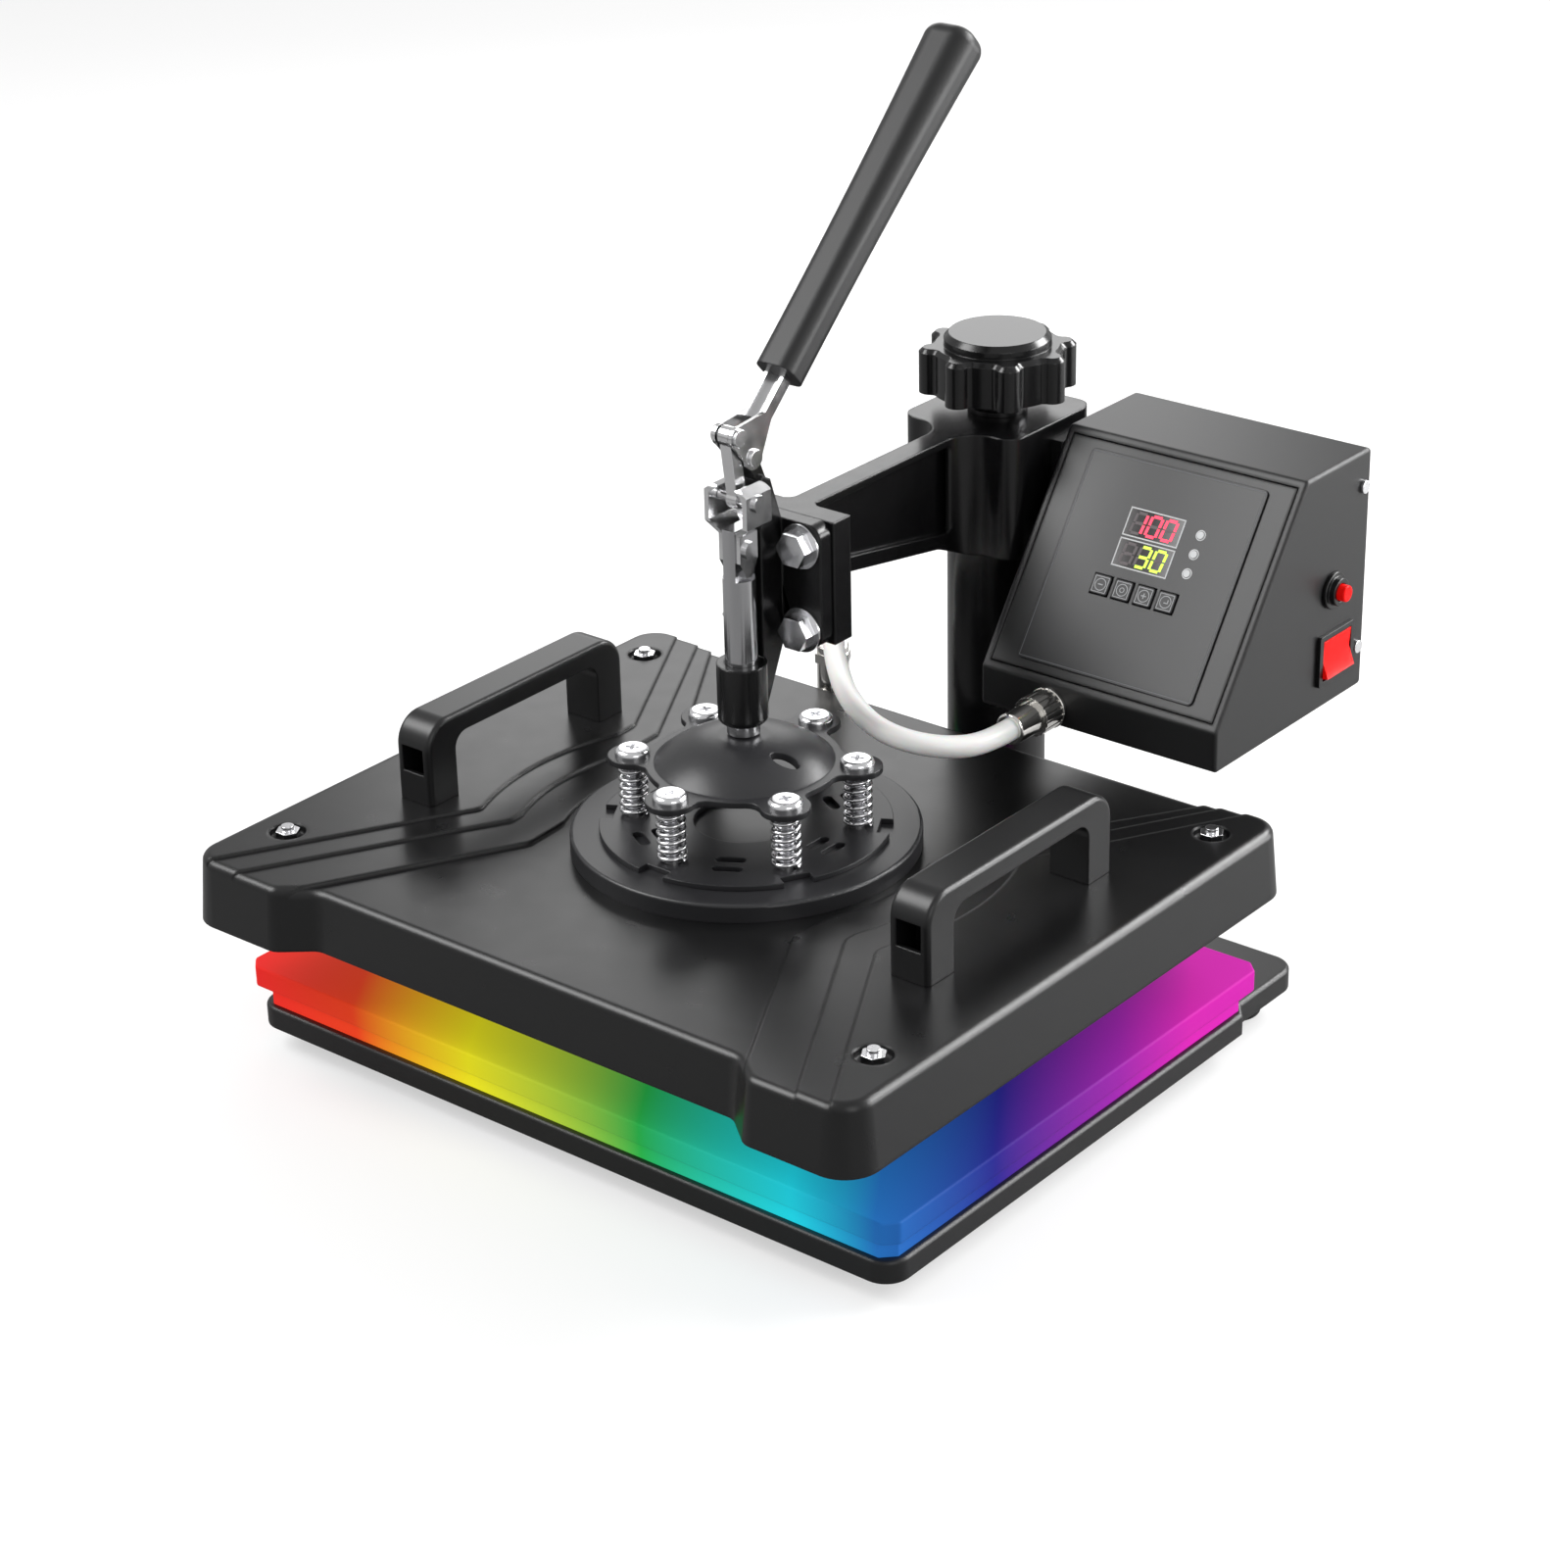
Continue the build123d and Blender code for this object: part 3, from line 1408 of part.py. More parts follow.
with BuildPart() as box_shell:
    with BuildSketch(right_face(box_left)):
        with BuildLine():
            Polyline(*side_view, close=True)
        make_face()
    extrude(amount=box_width)
    long_edges = box_shell.edges().filter_by(Axis.X)
    fillet(long_edges, radius=2.2)
    side_faces = box_shell.faces().sort_by(Axis.X)
    fillet(side_faces[0].edges() + side_faces[-1].edges(), radius=1.4)
    with BuildSketch(right_face(box_left + box_sheet)):
        with BuildLine():
            Polyline(*side_view, close=True)
        make_face()
        offset(amount=-box_sheet, kind=Kind.INTERSECTION, mode=Mode.REPLACE)
    extrude(amount=box_width - 2 * box_sheet, mode=Mode.SUBTRACT)
    # the opening for the panel in the sloping wall
    with BuildSketch(slope_plane):
        with Locations((box_middle, panel_u)):
            Rectangle(box_width - 2 * panel_margin, panel_length)
    extrude(amount=-box_sheet - 0.5, mode=Mode.SUBTRACT)
    # the open back
    with BuildSketch(front_face(box_back)):
        with Locations((box_middle, (arm_top + box_bottom) / 2)):
            Rectangle(box_width - 2 * box_sheet, arm_top - box_bottom - 2 * box_sheet)
    extrude(amount=box_sheet + 0.5, mode=Mode.SUBTRACT)
    # holes in the right wall for the reset switch, the rocker switch and the screws
    with BuildSketch(right_face(box_left)):
        with Locations(*side_screw_places):
            Circle(side_screw_radius)
        with Locations(*bracket_bolt_places):
            Circle(corner_bolt_radius)
    extrude(amount=box_sheet, mode=Mode.SUBTRACT)
    with BuildSketch(right_face(box_right - box_sheet)):
        with Locations(*side_screw_places):
            Circle(side_screw_radius)
        with Locations((reset_y, reset_z)):
            Circle(reset_radius - 3)
        with Locations((rocker_y, rocker_z)):
            Rectangle(rocker_length - 3, rocker_width - 3)
    extrude(amount=box_sheet, mode=Mode.SUBTRACT)
    with BuildSketch(front_face(box_front)):
        with Locations((connector_x, connector_z)):
            Circle(socket_barrel)
    extrude(amount=-box_sheet, mode=Mode.SUBTRACT)
box_shell.part.label = "box_shell"
export_step(box_shell.part, "parts/box_shell.step")

key_places = [(key_left + key_pitch * i, key_row) for i in range(4)]
key_clear = 0.3
key_flange = 1.2
key_proud = 1.0
key_back = -(panel_back + key_flange)
key_switch_top = key_back - key_stroke - running_gap
key_switch_size = 6.0
window_x = (window_left + window_right) / 2
window_width = window_right - window_left
window_places = [(window_x, temperature_window), (window_x, time_window)]
light_places = [(light_x, light_top - light_pitch * i) for i in range(3)]
light_radius = 1.75
board_left = 60.0
board_right = 150.0
board_low = 16.0
board_high = 104.0
board_front = -(panel_back + board_gap)
boss_inset = 4.0
boss_places = [
    (board_left + boss_inset, board_low + boss_inset),
    (board_right - boss_inset, board_low + boss_inset),
    (board_left + boss_inset, board_high - boss_inset),
    (board_right - boss_inset, board_high - boss_inset),
]

with BuildPart() as box_panel:
    with BuildSketch(slope_plane):
        with Locations((box_middle, panel_u)):
            Rectangle(box_width - 2 * panel_margin - 2 * panel_gap, panel_length - 2 * panel_gap)
    extrude(amount=-box_sheet)
    with BuildSketch(slope_plane.offset(-box_sheet)):
        with Locations((box_middle, panel_u)):
            Rectangle(box_width - 2 * panel_margin + 2, panel_length + 1)
    extrude(amount=-panel_flange)
    with BuildSketch(slope_plane.offset(-panel_back)):
        with Locations(*boss_places):
            Circle(boss_inset)
    extrude(amount=-board_gap)
    with BuildSketch(slope_plane):
        with Locations(*key_places):
            Rectangle(key_size + 2 * key_clear, key_size + 2 * key_clear)
        with Locations(*window_places):
            Rectangle(window_width, window_height)
        with Locations(*light_places):
            Circle(light_radius)
    extrude(amount=-panel_back, mode=Mode.SUBTRACT)
box_panel.part.label = "box_panel"
export_step(box_panel.part, "parts/box_panel.step")

overlay_x = (overlay_left + overlay_right) / 2
overlay_u = (overlay_low + overlay_high) / 2
with BuildPart() as panel_overlay:
    with BuildSketch(slope_plane):
        with Locations((overlay_x, overlay_u)):
            RectangleRounded(overlay_right - overlay_left, overlay_high - overlay_low, 2.5)
        with Locations(*key_places):
            Rectangle(
                key_size + 2 * key_clear, key_size + 2 * key_clear, mode=Mode.SUBTRACT
            )
        with Locations(*window_places):
            Rectangle(window_width, window_height, mode=Mode.SUBTRACT)
        with Locations(*light_places):
            Circle(light_radius, mode=Mode.SUBTRACT)
    extrude(amount=overlay_thickness)
panel_overlay.part.label = "panel_overlay"
export_step(panel_overlay.part, "parts/panel_overlay.step")

with BuildPart() as display_modules:
    with BuildSketch(slope_plane.offset(board_front)):
        with Locations(*window_places):
            Rectangle(window_width, window_height)
    extrude(amount=-board_front + overlay_thickness)
display_modules.part.label = "display_modules"
export_step(display_modules.part, "parts/display_modules.step")

with BuildPart() as indicator_lights:
    with BuildSketch(slope_plane.offset(board_front)):
        with Locations(*light_places):
            Circle(light_radius)
    extrude(amount=-board_front + overlay_thickness + 0.4)
indicator_lights.part.label = "indicator_lights"
export_step(indicator_lights.part, "parts/indicator_lights.step")

with BuildPart() as circuit_board:
    with BuildSketch(slope_plane.offset(board_front)):
        with Locations(((board_left + board_right) / 2, (board_low + board_high) / 2)):
            Rectangle(board_right - board_left, board_high - board_low)
    extrude(amount=-board_sheet)
    with BuildSketch(slope_plane.offset(board_front)):
        with Locations(*key_places):
            Rectangle(key_switch_size, key_switch_size)
    extrude(amount=key_switch_top - board_front)
circuit_board.part.label = "circuit_board"
export_step(circuit_board.part, "parts/circuit_board.step")

# keys: a square cap that goes through the panel, kept in by a flange behind it

def panel_key(place):
    """One key of the row."""
    with BuildPart() as key:
        with BuildSketch(slope_plane.offset(key_back)):
            with Locations(place):
                Rectangle(key_size + 1.8, key_size + 1.8)
        extrude(amount=key_flange)
        with BuildSketch(slope_plane.offset(-panel_back)):
            with Locations(place):
                RectangleRounded(key_size, key_size, 1.2)
        extrude(amount=panel_back + overlay_thickness + key_proud)
        cap_face = key.faces().sort_by(Axis(slope_plane.origin, slope_plane.z_dir))[-1]
        fillet(cap_face.edges(), radius=0.5)
    return key.part


minus_key = panel_key(key_places[0])
minus_key.label = "minus_key"
export_step(minus_key, "parts/minus_key.step")
menu_key = panel_key(key_places[1])
menu_key.label = "menu_key"
export_step(menu_key, "parts/menu_key.step")
plus_key = panel_key(key_places[2])
plus_key.label = "plus_key"
export_step(plus_key, "parts/plus_key.step")
enter_key = panel_key(key_places[3])
enter_key.label = "enter_key"
export_step(enter_key, "parts/enter_key.step")

# ================================================================ back cover, inlet and fixings of the box
box_height = arm_top - box_bottom
box_centre_z = (arm_top + box_bottom) / 2
cover_inner_y = box_back - back_gap - back_sheet
inner_left = box_left + box_sheet
inner_right = box_right - box_sheet

with BuildPart() as box_back_cover:
    with BuildSketch(front_face(cover_inner_y)):
        with Locations((box_middle, box_centre_z)):
            Rectangle(box_width - 2 * box_sheet, box_height - 2 * box_sheet)
        with Locations((inlet_x, inlet_z)):
            Rectangle(inlet_width - 4, inlet_height - 3, mode=Mode.SUBTRACT)
    extrude(amount=-back_sheet)
    with BuildSketch(front_face(cover_inner_y)):
        with Locations(
            (inner_left + back_sheet / 2, box_centre_z),
            (inner_right - back_sheet / 2, box_centre_z),
        ):
            Rectangle(back_sheet, box_height - 4 * box_sheet)
    extrude(amount=back_flange)
    with BuildSketch(right_face(inner_left)):
        with Locations(*side_screw_places):
            Circle(side_screw_radius)
    extrude(amount=box_width - 2 * box_sheet, mode=Mode.SUBTRACT)
box_back_cover.part.label = "box_back_cover"
export_step(box_back_cover.part, "parts/box_back_cover.step")

side_head = 1.8
with BuildPart() as box_screws:
    with BuildSketch(right_face(box_left - side_head)):
        with Locations(*side_screw_places):
            Circle(side_screw_head)
    extrude(amount=side_head)
    with BuildSketch(right_face(box_left)):
        with Locations(*side_screw_places):
            Circle(side_screw_radius)
    extrude(amount=5)
    with BuildSketch(right_face(box_right)):
        with Locations(*side_screw_places):
            Circle(side_screw_head)
    extrude(amount=side_head)
    with BuildSketch(right_face(box_right - 5)):
        with Locations(*side_screw_places):
            Circle(side_screw_radius)
    extrude(amount=5)
box_screws.part.label = "box_screws"
export_step(box_screws.part, "parts/box_screws.step")

inlet_face = box_back + 2
with BuildPart() as power_inlet:
    with BuildSketch(front_face(box_back - back_gap)):
        with Locations((inlet_x, inlet_z)):
            RectangleRounded(inlet_width + 6, inlet_height, 4)
    extrude(amount=-(inlet_face - box_back + back_gap))
    with BuildSketch(front_face(box_back - back_gap)):
        with Locations((inlet_x, inlet_z)):
            Rectangle(inlet_width - 4, inlet_height - 3)
    extrude(amount=20)
    with BuildSketch(front_face(inlet_face)):
        with Locations((inlet_x, inlet_z)):
            Rectangle(inlet_width - 8, inlet_height - 7)
    extrude(amount=18, mode=Mode.SUBTRACT)
    with BuildSketch(front_face(inlet_face - 18)):
        with Locations(*inlet_pins):
            Rectangle(2, 4)
    extrude(amount=-14)
power_inlet.part.label = "power_inlet"
export_step(power_inlet.part, "parts/power_inlet.step")

with BuildPart() as box_bracket:
    with BuildSketch(right_face(hub_half)):
        with Locations((bracket_y, bracket_z)):
            Rectangle(bracket_width, bracket_height)
        with Locations(*bracket_bolt_places):
            Circle(corner_bolt_radius, mode=Mode.SUBTRACT)
    extrude(amount=box_left - hub_half)
box_bracket.part.label = "box_bracket"
export_step(box_bracket.part, "parts/box_bracket.step")

with BuildPart() as bracket_bolts:
    with BuildSketch(right_face(hub_half - bracket_thread)):
        with Locations(*bracket_bolt_places):
            Circle(corner_bolt_radius)
    extrude(amount=bracket_thread + box_left - hub_half + box_sheet)
    with BuildSketch(right_face(box_left + box_sheet)):
        with Locations(*bracket_bolt_places):
            RegularPolygon(bracket_bolt_head, 6)
    extrude(amount=bracket_bolt_head_height)
bracket_bolts.part.label = "bracket_bolts"
export_step(bracket_bolts.part, "parts/bracket_bolts.step")

# ================================================================ reset switch
button_radius = 4.0
button_flange = 5.0
button_stroke = 2.5
reset_collar = 5.0
reset_depth = 13.0
button_end = box_right + reset_collar + 3.5
button_shoulder = box_right - 4.0

with BuildPart() as reset_bezel:
    with BuildSketch(right_face(box_right - reset_depth)):
        with Locations((reset_y, reset_z)):
            Circle(reset_radius - 3)
    extrude(amount=reset_depth)
    with BuildSketch(right_face(box_right)):
        with Locations((reset_y, reset_z)):
            Circle(reset_radius)
    extrude(amount=2)
    with BuildSketch(right_face(box_right + 2)):
        with Locations((reset_y, reset_z)):
            Circle(reset_radius - 2.3)
    extrude(amount=reset_collar - 2)
    with BuildSketch(right_face(box_right + reset_collar)):
        with Locations((reset_y, reset_z)):
            Circle(button_radius + running_gap)
    extrude(amount=-(reset_collar + 4), mode=Mode.SUBTRACT)
    with BuildSketch(right_face(button_shoulder)):
        with Locations((reset_y, reset_z)):
            Circle(button_flange + running_gap)
    extrude(amount=-(button_stroke + 2), mode=Mode.SUBTRACT)
reset_bezel.part.label = "reset_bezel"
export_step(reset_bezel.part, "parts/reset_bezel.step")

with BuildPart() as reset_button:
    with BuildSketch(right_face(button_shoulder - 1.5)):
        with Locations((reset_y, reset_z)):
            Circle(button_flange)
    extrude(amount=1.5)
    with BuildSketch(right_face(button_shoulder)):
        with Locations((reset_y, reset_z)):
            Circle(button_radius)
    extrude(amount=button_end - button_shoulder)
    fillet(reset_button.edges().group_by(Axis.X)[-1], radius=0.8)
reset_button.part.label = "reset_button"
export_step(reset_button.part, "parts/reset_button.step")

# ================================================================ rocker switch
rocker_flange = 2.0
rocker_depth = 20.0
rocker_half = 9.2
rocker_tilt = 8.0
rocker_span = 23.4
rocker_pivot_x = box_right - 2.0
rocker_axle = 1.5

with BuildPart() as rocker_bezel:
    with BuildSketch(right_face(box_right)):
        with Locations((rocker_y, rocker_z)):
            RectangleRounded(rocker_length, rocker_width, 1.5)
    extrude(amount=rocker_flange)
    with BuildSketch(right_face(box_right - rocker_depth)):
        with Locations((rocker_y, rocker_z)):
            Rectangle(rocker_length - 3, rocker_width - 3)
    extrude(amount=rocker_depth)
    with BuildSketch(right_face(box_right + rocker_flange)):
        with Locations((rocker_y, rocker_z)):
            Rectangle(rocker_span + 2 * running_gap, 2 * rocker_half + 2)
    extrude(amount=-14, mode=Mode.SUBTRACT)
    with BuildSketch(front_face(rocker_y + rocker_length / 2 - 1.5)):
        with Locations((rocker_pivot_x, rocker_z)):
            Circle(rocker_axle + running_gap)
    extrude(amount=rocker_length - 3, mode=Mode.SUBTRACT)
rocker_bezel.part.label = "rocker_bezel"
export_step(rocker_bezel.part, "parts/rocker_bezel.step")

rocker_plane = Plane(
    origin=(rocker_pivot_x, datum_y + rocker_y - rocker_span / 2, floor_drop + rocker_z),
    x_dir=(math.cos(math.radians(rocker_tilt)), 0, math.sin(math.radians(rocker_tilt))),
    z_dir=(0, -1, 0),
)
with BuildPart() as power_rocker:
    with BuildSketch(rocker_plane):
        with BuildLine():
            Polyline(
                (-3.2, -2.5),
                (1.5, -rocker_half),
                (5.4, -rocker_half),
                (3.4, 0),
                (5.4, rocker_half),
                (1.5, rocker_half),
                (-3.2, 2.5),
                close=True,
            )
        make_face()
    extrude(amount=-rocker_span)
    with BuildSketch(rocker_plane.offset(1.2)):
        Circle(rocker_axle)
    extrude(amount=-(rocker_span + 2.4))
power_rocker.part.label = "power_rocker"
export_step(power_rocker.part, "parts/power_rocker.step")

# ================================================================ plug-in lead of the heating head
plug_split = 111.0
plug_ring_radius = 9.6
plug_body_radius = 7.6
socket_flange = 2.5
socket_flange_radius = 10.0
socket_depth = 12.0
socket_face = box_front - socket_flange
with BuildPart() as box_socket:
    with BuildSketch(front_face(box_front)):
        with Locations((connector_x, connector_z)):
            Circle(socket_flange_radius)
    extrude(amount=socket_flange)
    with BuildSketch(front_face(box_front)):
        with Locations((connector_x, connector_z)):
            Circle(socket_barrel)
    extrude(amount=-socket_depth)
box_socket.part.label = "box_socket"
export_step(box_socket.part, "parts/box_socket.step")

ring_teeth = 18
with BuildPart() as cable_plug:
    with BuildSketch(front_face(socket_face)):
        with Locations((connector_x, connector_z)):
            Circle(plug_ring_radius)
        with Locations((connector_x, connector_z)):
            with PolarLocations(plug_ring_radius + 0.3, ring_teeth):
                Circle(0.7, mode=Mode.SUBTRACT)
    extrude(amount=socket_face - plug_split)
    with BuildSketch(front_face(plug_split)):
        with Locations((connector_x, connector_z)):
            Circle(plug_body_radius)
    extrude(amount=plug_split - cable_start_y)
    fillet(cable_plug.edges().group_by(Axis.Y)[0], radius=1.2)
cable_plug.part.label = "cable_plug"
export_step(cable_plug.part, "parts/cable_plug.step")

# ================================================================ lead from the plug to the gland
# each bend's points stand on an arc of about 35 mm: flat below the plug, upright above the gland
route = [
    (connector_x, cable_start_y, connector_z),
    (connector_x, 75.2, connector_z),
    (69.6, 59.0, 39.5),
    (53.4, 49.6, 42.0),
    (34.6, 49.6, 44.5),
    (8.5, 64.5, 46.0),
    (-17.5, 89.0, 47.5),
    (-41.5, 116.5, 50.0),
    (-62.2, 144.2, 52.4),
    (-72.8, 156.4, 43.0),
    (gland_x, gland_y, 26.8),
    (gland_x, gland_y, cable_in_gland),
]


def corner_radii(points):
    """The largest bend at each inner point that leaves a straight piece of every run."""
    radii = []
    for before, corner, after in zip(points, points[1:], points[2:]):
        run_in = Vector(*corner) - Vector(*before)
        run_out = Vector(*after) - Vector(*corner)
        half_turn = math.radians(run_in.get_angle(run_out)) / 2
        shorter = min(run_in.length, run_out.length)
        radii.append(0.45 * shorter / math.tan(half_turn))
    return radii


lead_radii = corner_radii(route)
print("lead bends", [round(radius, 1) for radius in lead_radii])
with BuildPart() as heater_cable:
    with BuildLine(level(0)) as lead_path:
        FilletPolyline(*route, radius=lead_radii)
    with BuildSketch(Plane(origin=lead_path.line @ 0, z_dir=lead_path.line % 0)):
        Circle(cable_radius)
    sweep()
lead_length = sum(edge.length for edge in lead_path.edges())
lead_volume = lead_length * math.pi * cable_radius**2
print("lead length", round(lead_length, 1), "section times length", round(lead_volume))
heater_cable.part.label = "heater_cable"
export_step(heater_cable.part, "parts/heater_cable.step")
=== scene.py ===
# %% [markdown]
# A swing-away heat press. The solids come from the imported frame, in metres, with +Z up and the
# operator at -Y. This lesson dresses them: finishes first, then the few pieces whose look is
# better made here, such as round-wire springs, the silicone lead, the printed panel and its digits.

import math

import bpy
from mathutils import Matrix, Vector


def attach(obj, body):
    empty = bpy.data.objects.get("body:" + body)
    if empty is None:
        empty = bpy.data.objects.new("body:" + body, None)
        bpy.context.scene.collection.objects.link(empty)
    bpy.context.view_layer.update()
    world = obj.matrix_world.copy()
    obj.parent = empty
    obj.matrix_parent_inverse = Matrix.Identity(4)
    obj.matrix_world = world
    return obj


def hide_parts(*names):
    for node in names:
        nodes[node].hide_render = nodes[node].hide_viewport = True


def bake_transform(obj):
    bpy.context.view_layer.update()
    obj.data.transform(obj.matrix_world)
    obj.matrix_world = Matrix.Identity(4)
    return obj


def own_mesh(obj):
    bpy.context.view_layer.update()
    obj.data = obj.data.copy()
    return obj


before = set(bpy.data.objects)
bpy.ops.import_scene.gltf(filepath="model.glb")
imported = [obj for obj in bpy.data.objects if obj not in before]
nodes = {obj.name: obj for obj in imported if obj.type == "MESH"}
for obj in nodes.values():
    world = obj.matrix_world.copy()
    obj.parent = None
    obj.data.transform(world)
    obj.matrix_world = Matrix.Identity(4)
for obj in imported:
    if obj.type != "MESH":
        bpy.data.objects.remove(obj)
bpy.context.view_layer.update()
bpy.ops.object.select_all(action="DESELECT")
print("nodes", len(nodes))

# %% [markdown]
# Places are worked out from a few sizes of the press. The middle of the heated platen lies 41.75 mm
# in front of the frame's origin, and the top of its cover is 112 mm above the floor.

# %% Sizes and places
MM = 0.001
PLATEN_Y = -41.75
COVER_Z = 112.0


def place(x, y, z):
    """A point given in mm from the middle of the cover's top, in the frame's metres."""
    return Vector((x, y + PLATEN_Y, z + COVER_Z)) * MM


# The control box's sloping face starts at this foot and climbs by this much over this run.
PANEL_FOOT_Y = 126
PANEL_FOOT_Z = 49
PANEL_RUN = 70
PANEL_CLIMB = 98.5
PANEL_LOW = place(0, PANEL_FOOT_Y, PANEL_FOOT_Z)
PANEL_RISE = Vector((0, PANEL_RUN, PANEL_CLIMB)).normalized()
PANEL_OUT = Vector((0, -PANEL_CLIMB, PANEL_RUN)).normalized()
PANEL = Matrix.Translation(PANEL_LOW) @ Matrix(
    ((1, 0, 0), (0, PANEL_RISE.y, PANEL_OUT.y), (0, PANEL_RISE.z, PANEL_OUT.z))
).to_4x4()
# The printed film stands this far above the panel, and the digits a little above the film.
OVERLAY_TOP = 1.0 * MM
PRINT_LIFT = 0.03 * MM
print("panel leans", round(math.degrees(math.atan2(PANEL_RISE.z, PANEL_RISE.y)), 1), "degrees")

# %% [markdown]
# Colours are written as designers write them, in sRGB hex, and Blender's shaders want linear light,
# so one function converts them. Another adds a node to a material and sets its sockets.

# %% Colour and node helpers


def colour(hex_code, alpha=1.0):
    """Linear RGBA from an sRGB hex code."""
    channels = [int(hex_code[i : i + 2], 16) / 255 for i in (1, 3, 5)]
    linear = [c / 12.92 if c <= 0.04045 else ((c + 0.055) / 1.055) ** 2.4 for c in channels]
    return (*linear, alpha)


def add_node(owner, kind, **values):
    """Adds one node to a material or the world.

    A value whose name is a socket goes to the socket, any other to the node.
    """
    node = owner.node_tree.nodes.new(kind)
    for name, value in values.items():
        socket = node.inputs.get(name.replace("_", " "))
        if socket is not None:
            socket.default_value = value
        else:
            setattr(node, name, value)
    return node


def new_finish(name, hex_code, roughness, metallic=0.0, **sockets):
    """A material with its constant values on the shader's own sockets."""
    material = bpy.data.materials.new(name)
    material.use_nodes = True
    shader = material.node_tree.nodes["Principled BSDF"]
    shader.inputs["Base Color"].default_value = colour(hex_code)
    shader.inputs["Roughness"].default_value = roughness
    shader.inputs["Metallic"].default_value = metallic
    for socket, value in sockets.items():
        shader.inputs[socket.replace("_", " ")].default_value = value
    return material


def grain(material, size_mm, depth_mm, edge_mm=0.8):
    """Gives a finish the fine relief of its surface, with sizes in real mm.

    size_mm is one grain across, and edge_mm is the radius that the coat leaves on sharp edges.
    The edge is shading only: it lets a sharp edge catch light, and the mesh stays as it is.
    """
    tree = material.node_tree
    where = add_node(material, "ShaderNodeTexCoord")
    edge = add_node(material, "ShaderNodeBevel", samples=4, Radius=edge_mm * MM)
    noise = add_node(material, "ShaderNodeTexNoise", Scale=1 / (size_mm * MM), Detail=2.0)
    bump = add_node(material, "ShaderNodeBump", Strength=1.0, Distance=depth_mm * MM)
    tree.links.new(where.outputs["Object"], noise.inputs["Vector"])
    tree.links.new(noise.outputs["Fac"], bump.inputs["Height"])
    tree.links.new(edge.outputs["Normal"], bump.inputs["Normal"])
    tree.links.new(bump.outputs["Normal"], tree.nodes["Principled BSDF"].inputs["Normal"])
    return material


def uneven_gloss(material, low, high, size_mm):
    """Varies the roughness a little, as a sprayed or handled surface does."""
    tree = material.node_tree
    where = add_node(material, "ShaderNodeTexCoord")
    noise = add_node(material, "ShaderNodeTexNoise", Scale=1 / (size_mm * MM), Detail=3.0)
    spread = add_node(material, "ShaderNodeMapRange", To_Min=low, To_Max=high)
    tree.links.new(where.outputs["Object"], noise.inputs["Vector"])
    tree.links.new(noise.outputs["Fac"], spread.inputs["Value"])
    tree.links.new(spread.outputs["Result"], tree.nodes["Principled BSDF"].inputs["Roughness"])
    return material


# %% [markdown]
# The press is mostly black, and what tells its blacks apart is gloss and grain: a smooth baked
# enamel on the cover, a glossier coat over sand-cast iron on the arm, a fine wrinkle on the
# control box, moulded plastic on the handles and knob, and dull rubber on the feet. The grain of
# a real coat is finer than a pixel here, so most grains are drawn coarser, to show at all.

# %% Black finishes
# Baked enamel on the cast cover: nearly smooth, with broad soft highlights along its rims.
cover_enamel = new_finish("baked enamel", "#0c0c0d", 0.28)
grain(cover_enamel, 0.5, 0.004, edge_mm=2.2)
uneven_gloss(cover_enamel, 0.25, 0.33, 14)
# Enamel on turned and pressed plate: a greyer and duller black than the cover's.
disc_enamel = new_finish("enamel on plate", "#232325", 0.34)
grain(disc_enamel, 0.5, 0.004, edge_mm=0.6)
# A glossy coat over sand-cast iron: the texture of the sand breaks up its reflections.
casting_coat = new_finish("coat on sand casting", "#0a0a0b", 0.22)
grain(casting_coat, 0.9, 0.01, edge_mm=1.4)
uneven_gloss(casting_coat, 0.18, 0.28, 9)
# Fine wrinkle coat on bent sheet: dull, with a wide highlight along each bend.
box_coat = grain(new_finish("fine wrinkle coat", "#121213", 0.36), 0.6, 0.012, edge_mm=1.8)
# Powder coat on the pressed tray: the dullest of the coats, with a slight orange peel.
base_coat = grain(new_finish("base powder coat", "#0e0e0f", 0.38), 0.8, 0.012, edge_mm=1.2)
# Moulded plastics: an even satin on the handles, and a deeper shine on the knob.
handle_plastic = new_finish("moulded handle plastic", "#101011", 0.33)
grain(handle_plastic, 0.7, 0.01, edge_mm=1.0)
knob_plastic = grain(new_finish("glossy knob plastic", "#0b0b0c", 0.2), 0.7, 0.003, edge_mm=0.8)
# Moulded rubber, with hardly a highlight, and the dipped grip, with soft ones.
foot_rubber = grain(new_finish("foot rubber", "#161617", 0.75), 0.9, 0.03)
grip_rubber = grain(new_finish("lever grip rubber", "#0f0f10", 0.45), 0.8, 0.02, edge_mm=1.0)
# Smooth plastic of the bezels and the inlet.
switch_plastic = new_finish("switch plastic", "#0c0c0d", 0.28)
print("black finishes made")

# %% [markdown]
# Bright parts: zinc-plated screws and nuts, nickel on the connector, plated steel on the linkage.
# A plated strip isn't a perfect mirror, so its roughness wanders over a few millimetres.

# %% Metals
# Plated screws and strips: nearly mirrors, with slightly cloudy patches.
bright_zinc = uneven_gloss(new_finish("bright zinc plate", "#ececee", 0.2, 1.0), 0.15, 0.24, 8)
plated_steel = uneven_gloss(new_finish("plated strip steel", "#e4e4e5", 0.16, 1.0), 0.1, 0.24, 7)
# A ground rod: an even mirror, darker than the strips beside it.
ground_rod = new_finish("ground plated rod", "#b9b9bb", 0.16, 1.0)
# Nickel, which is a little warmer than zinc, and drawn spring wire.
nickel = new_finish("nickel plate", "#e6e4e0", 0.14, 1.0)
spring_steel = new_finish("spring wire", "#e2e2e4", 0.16, 1.0)
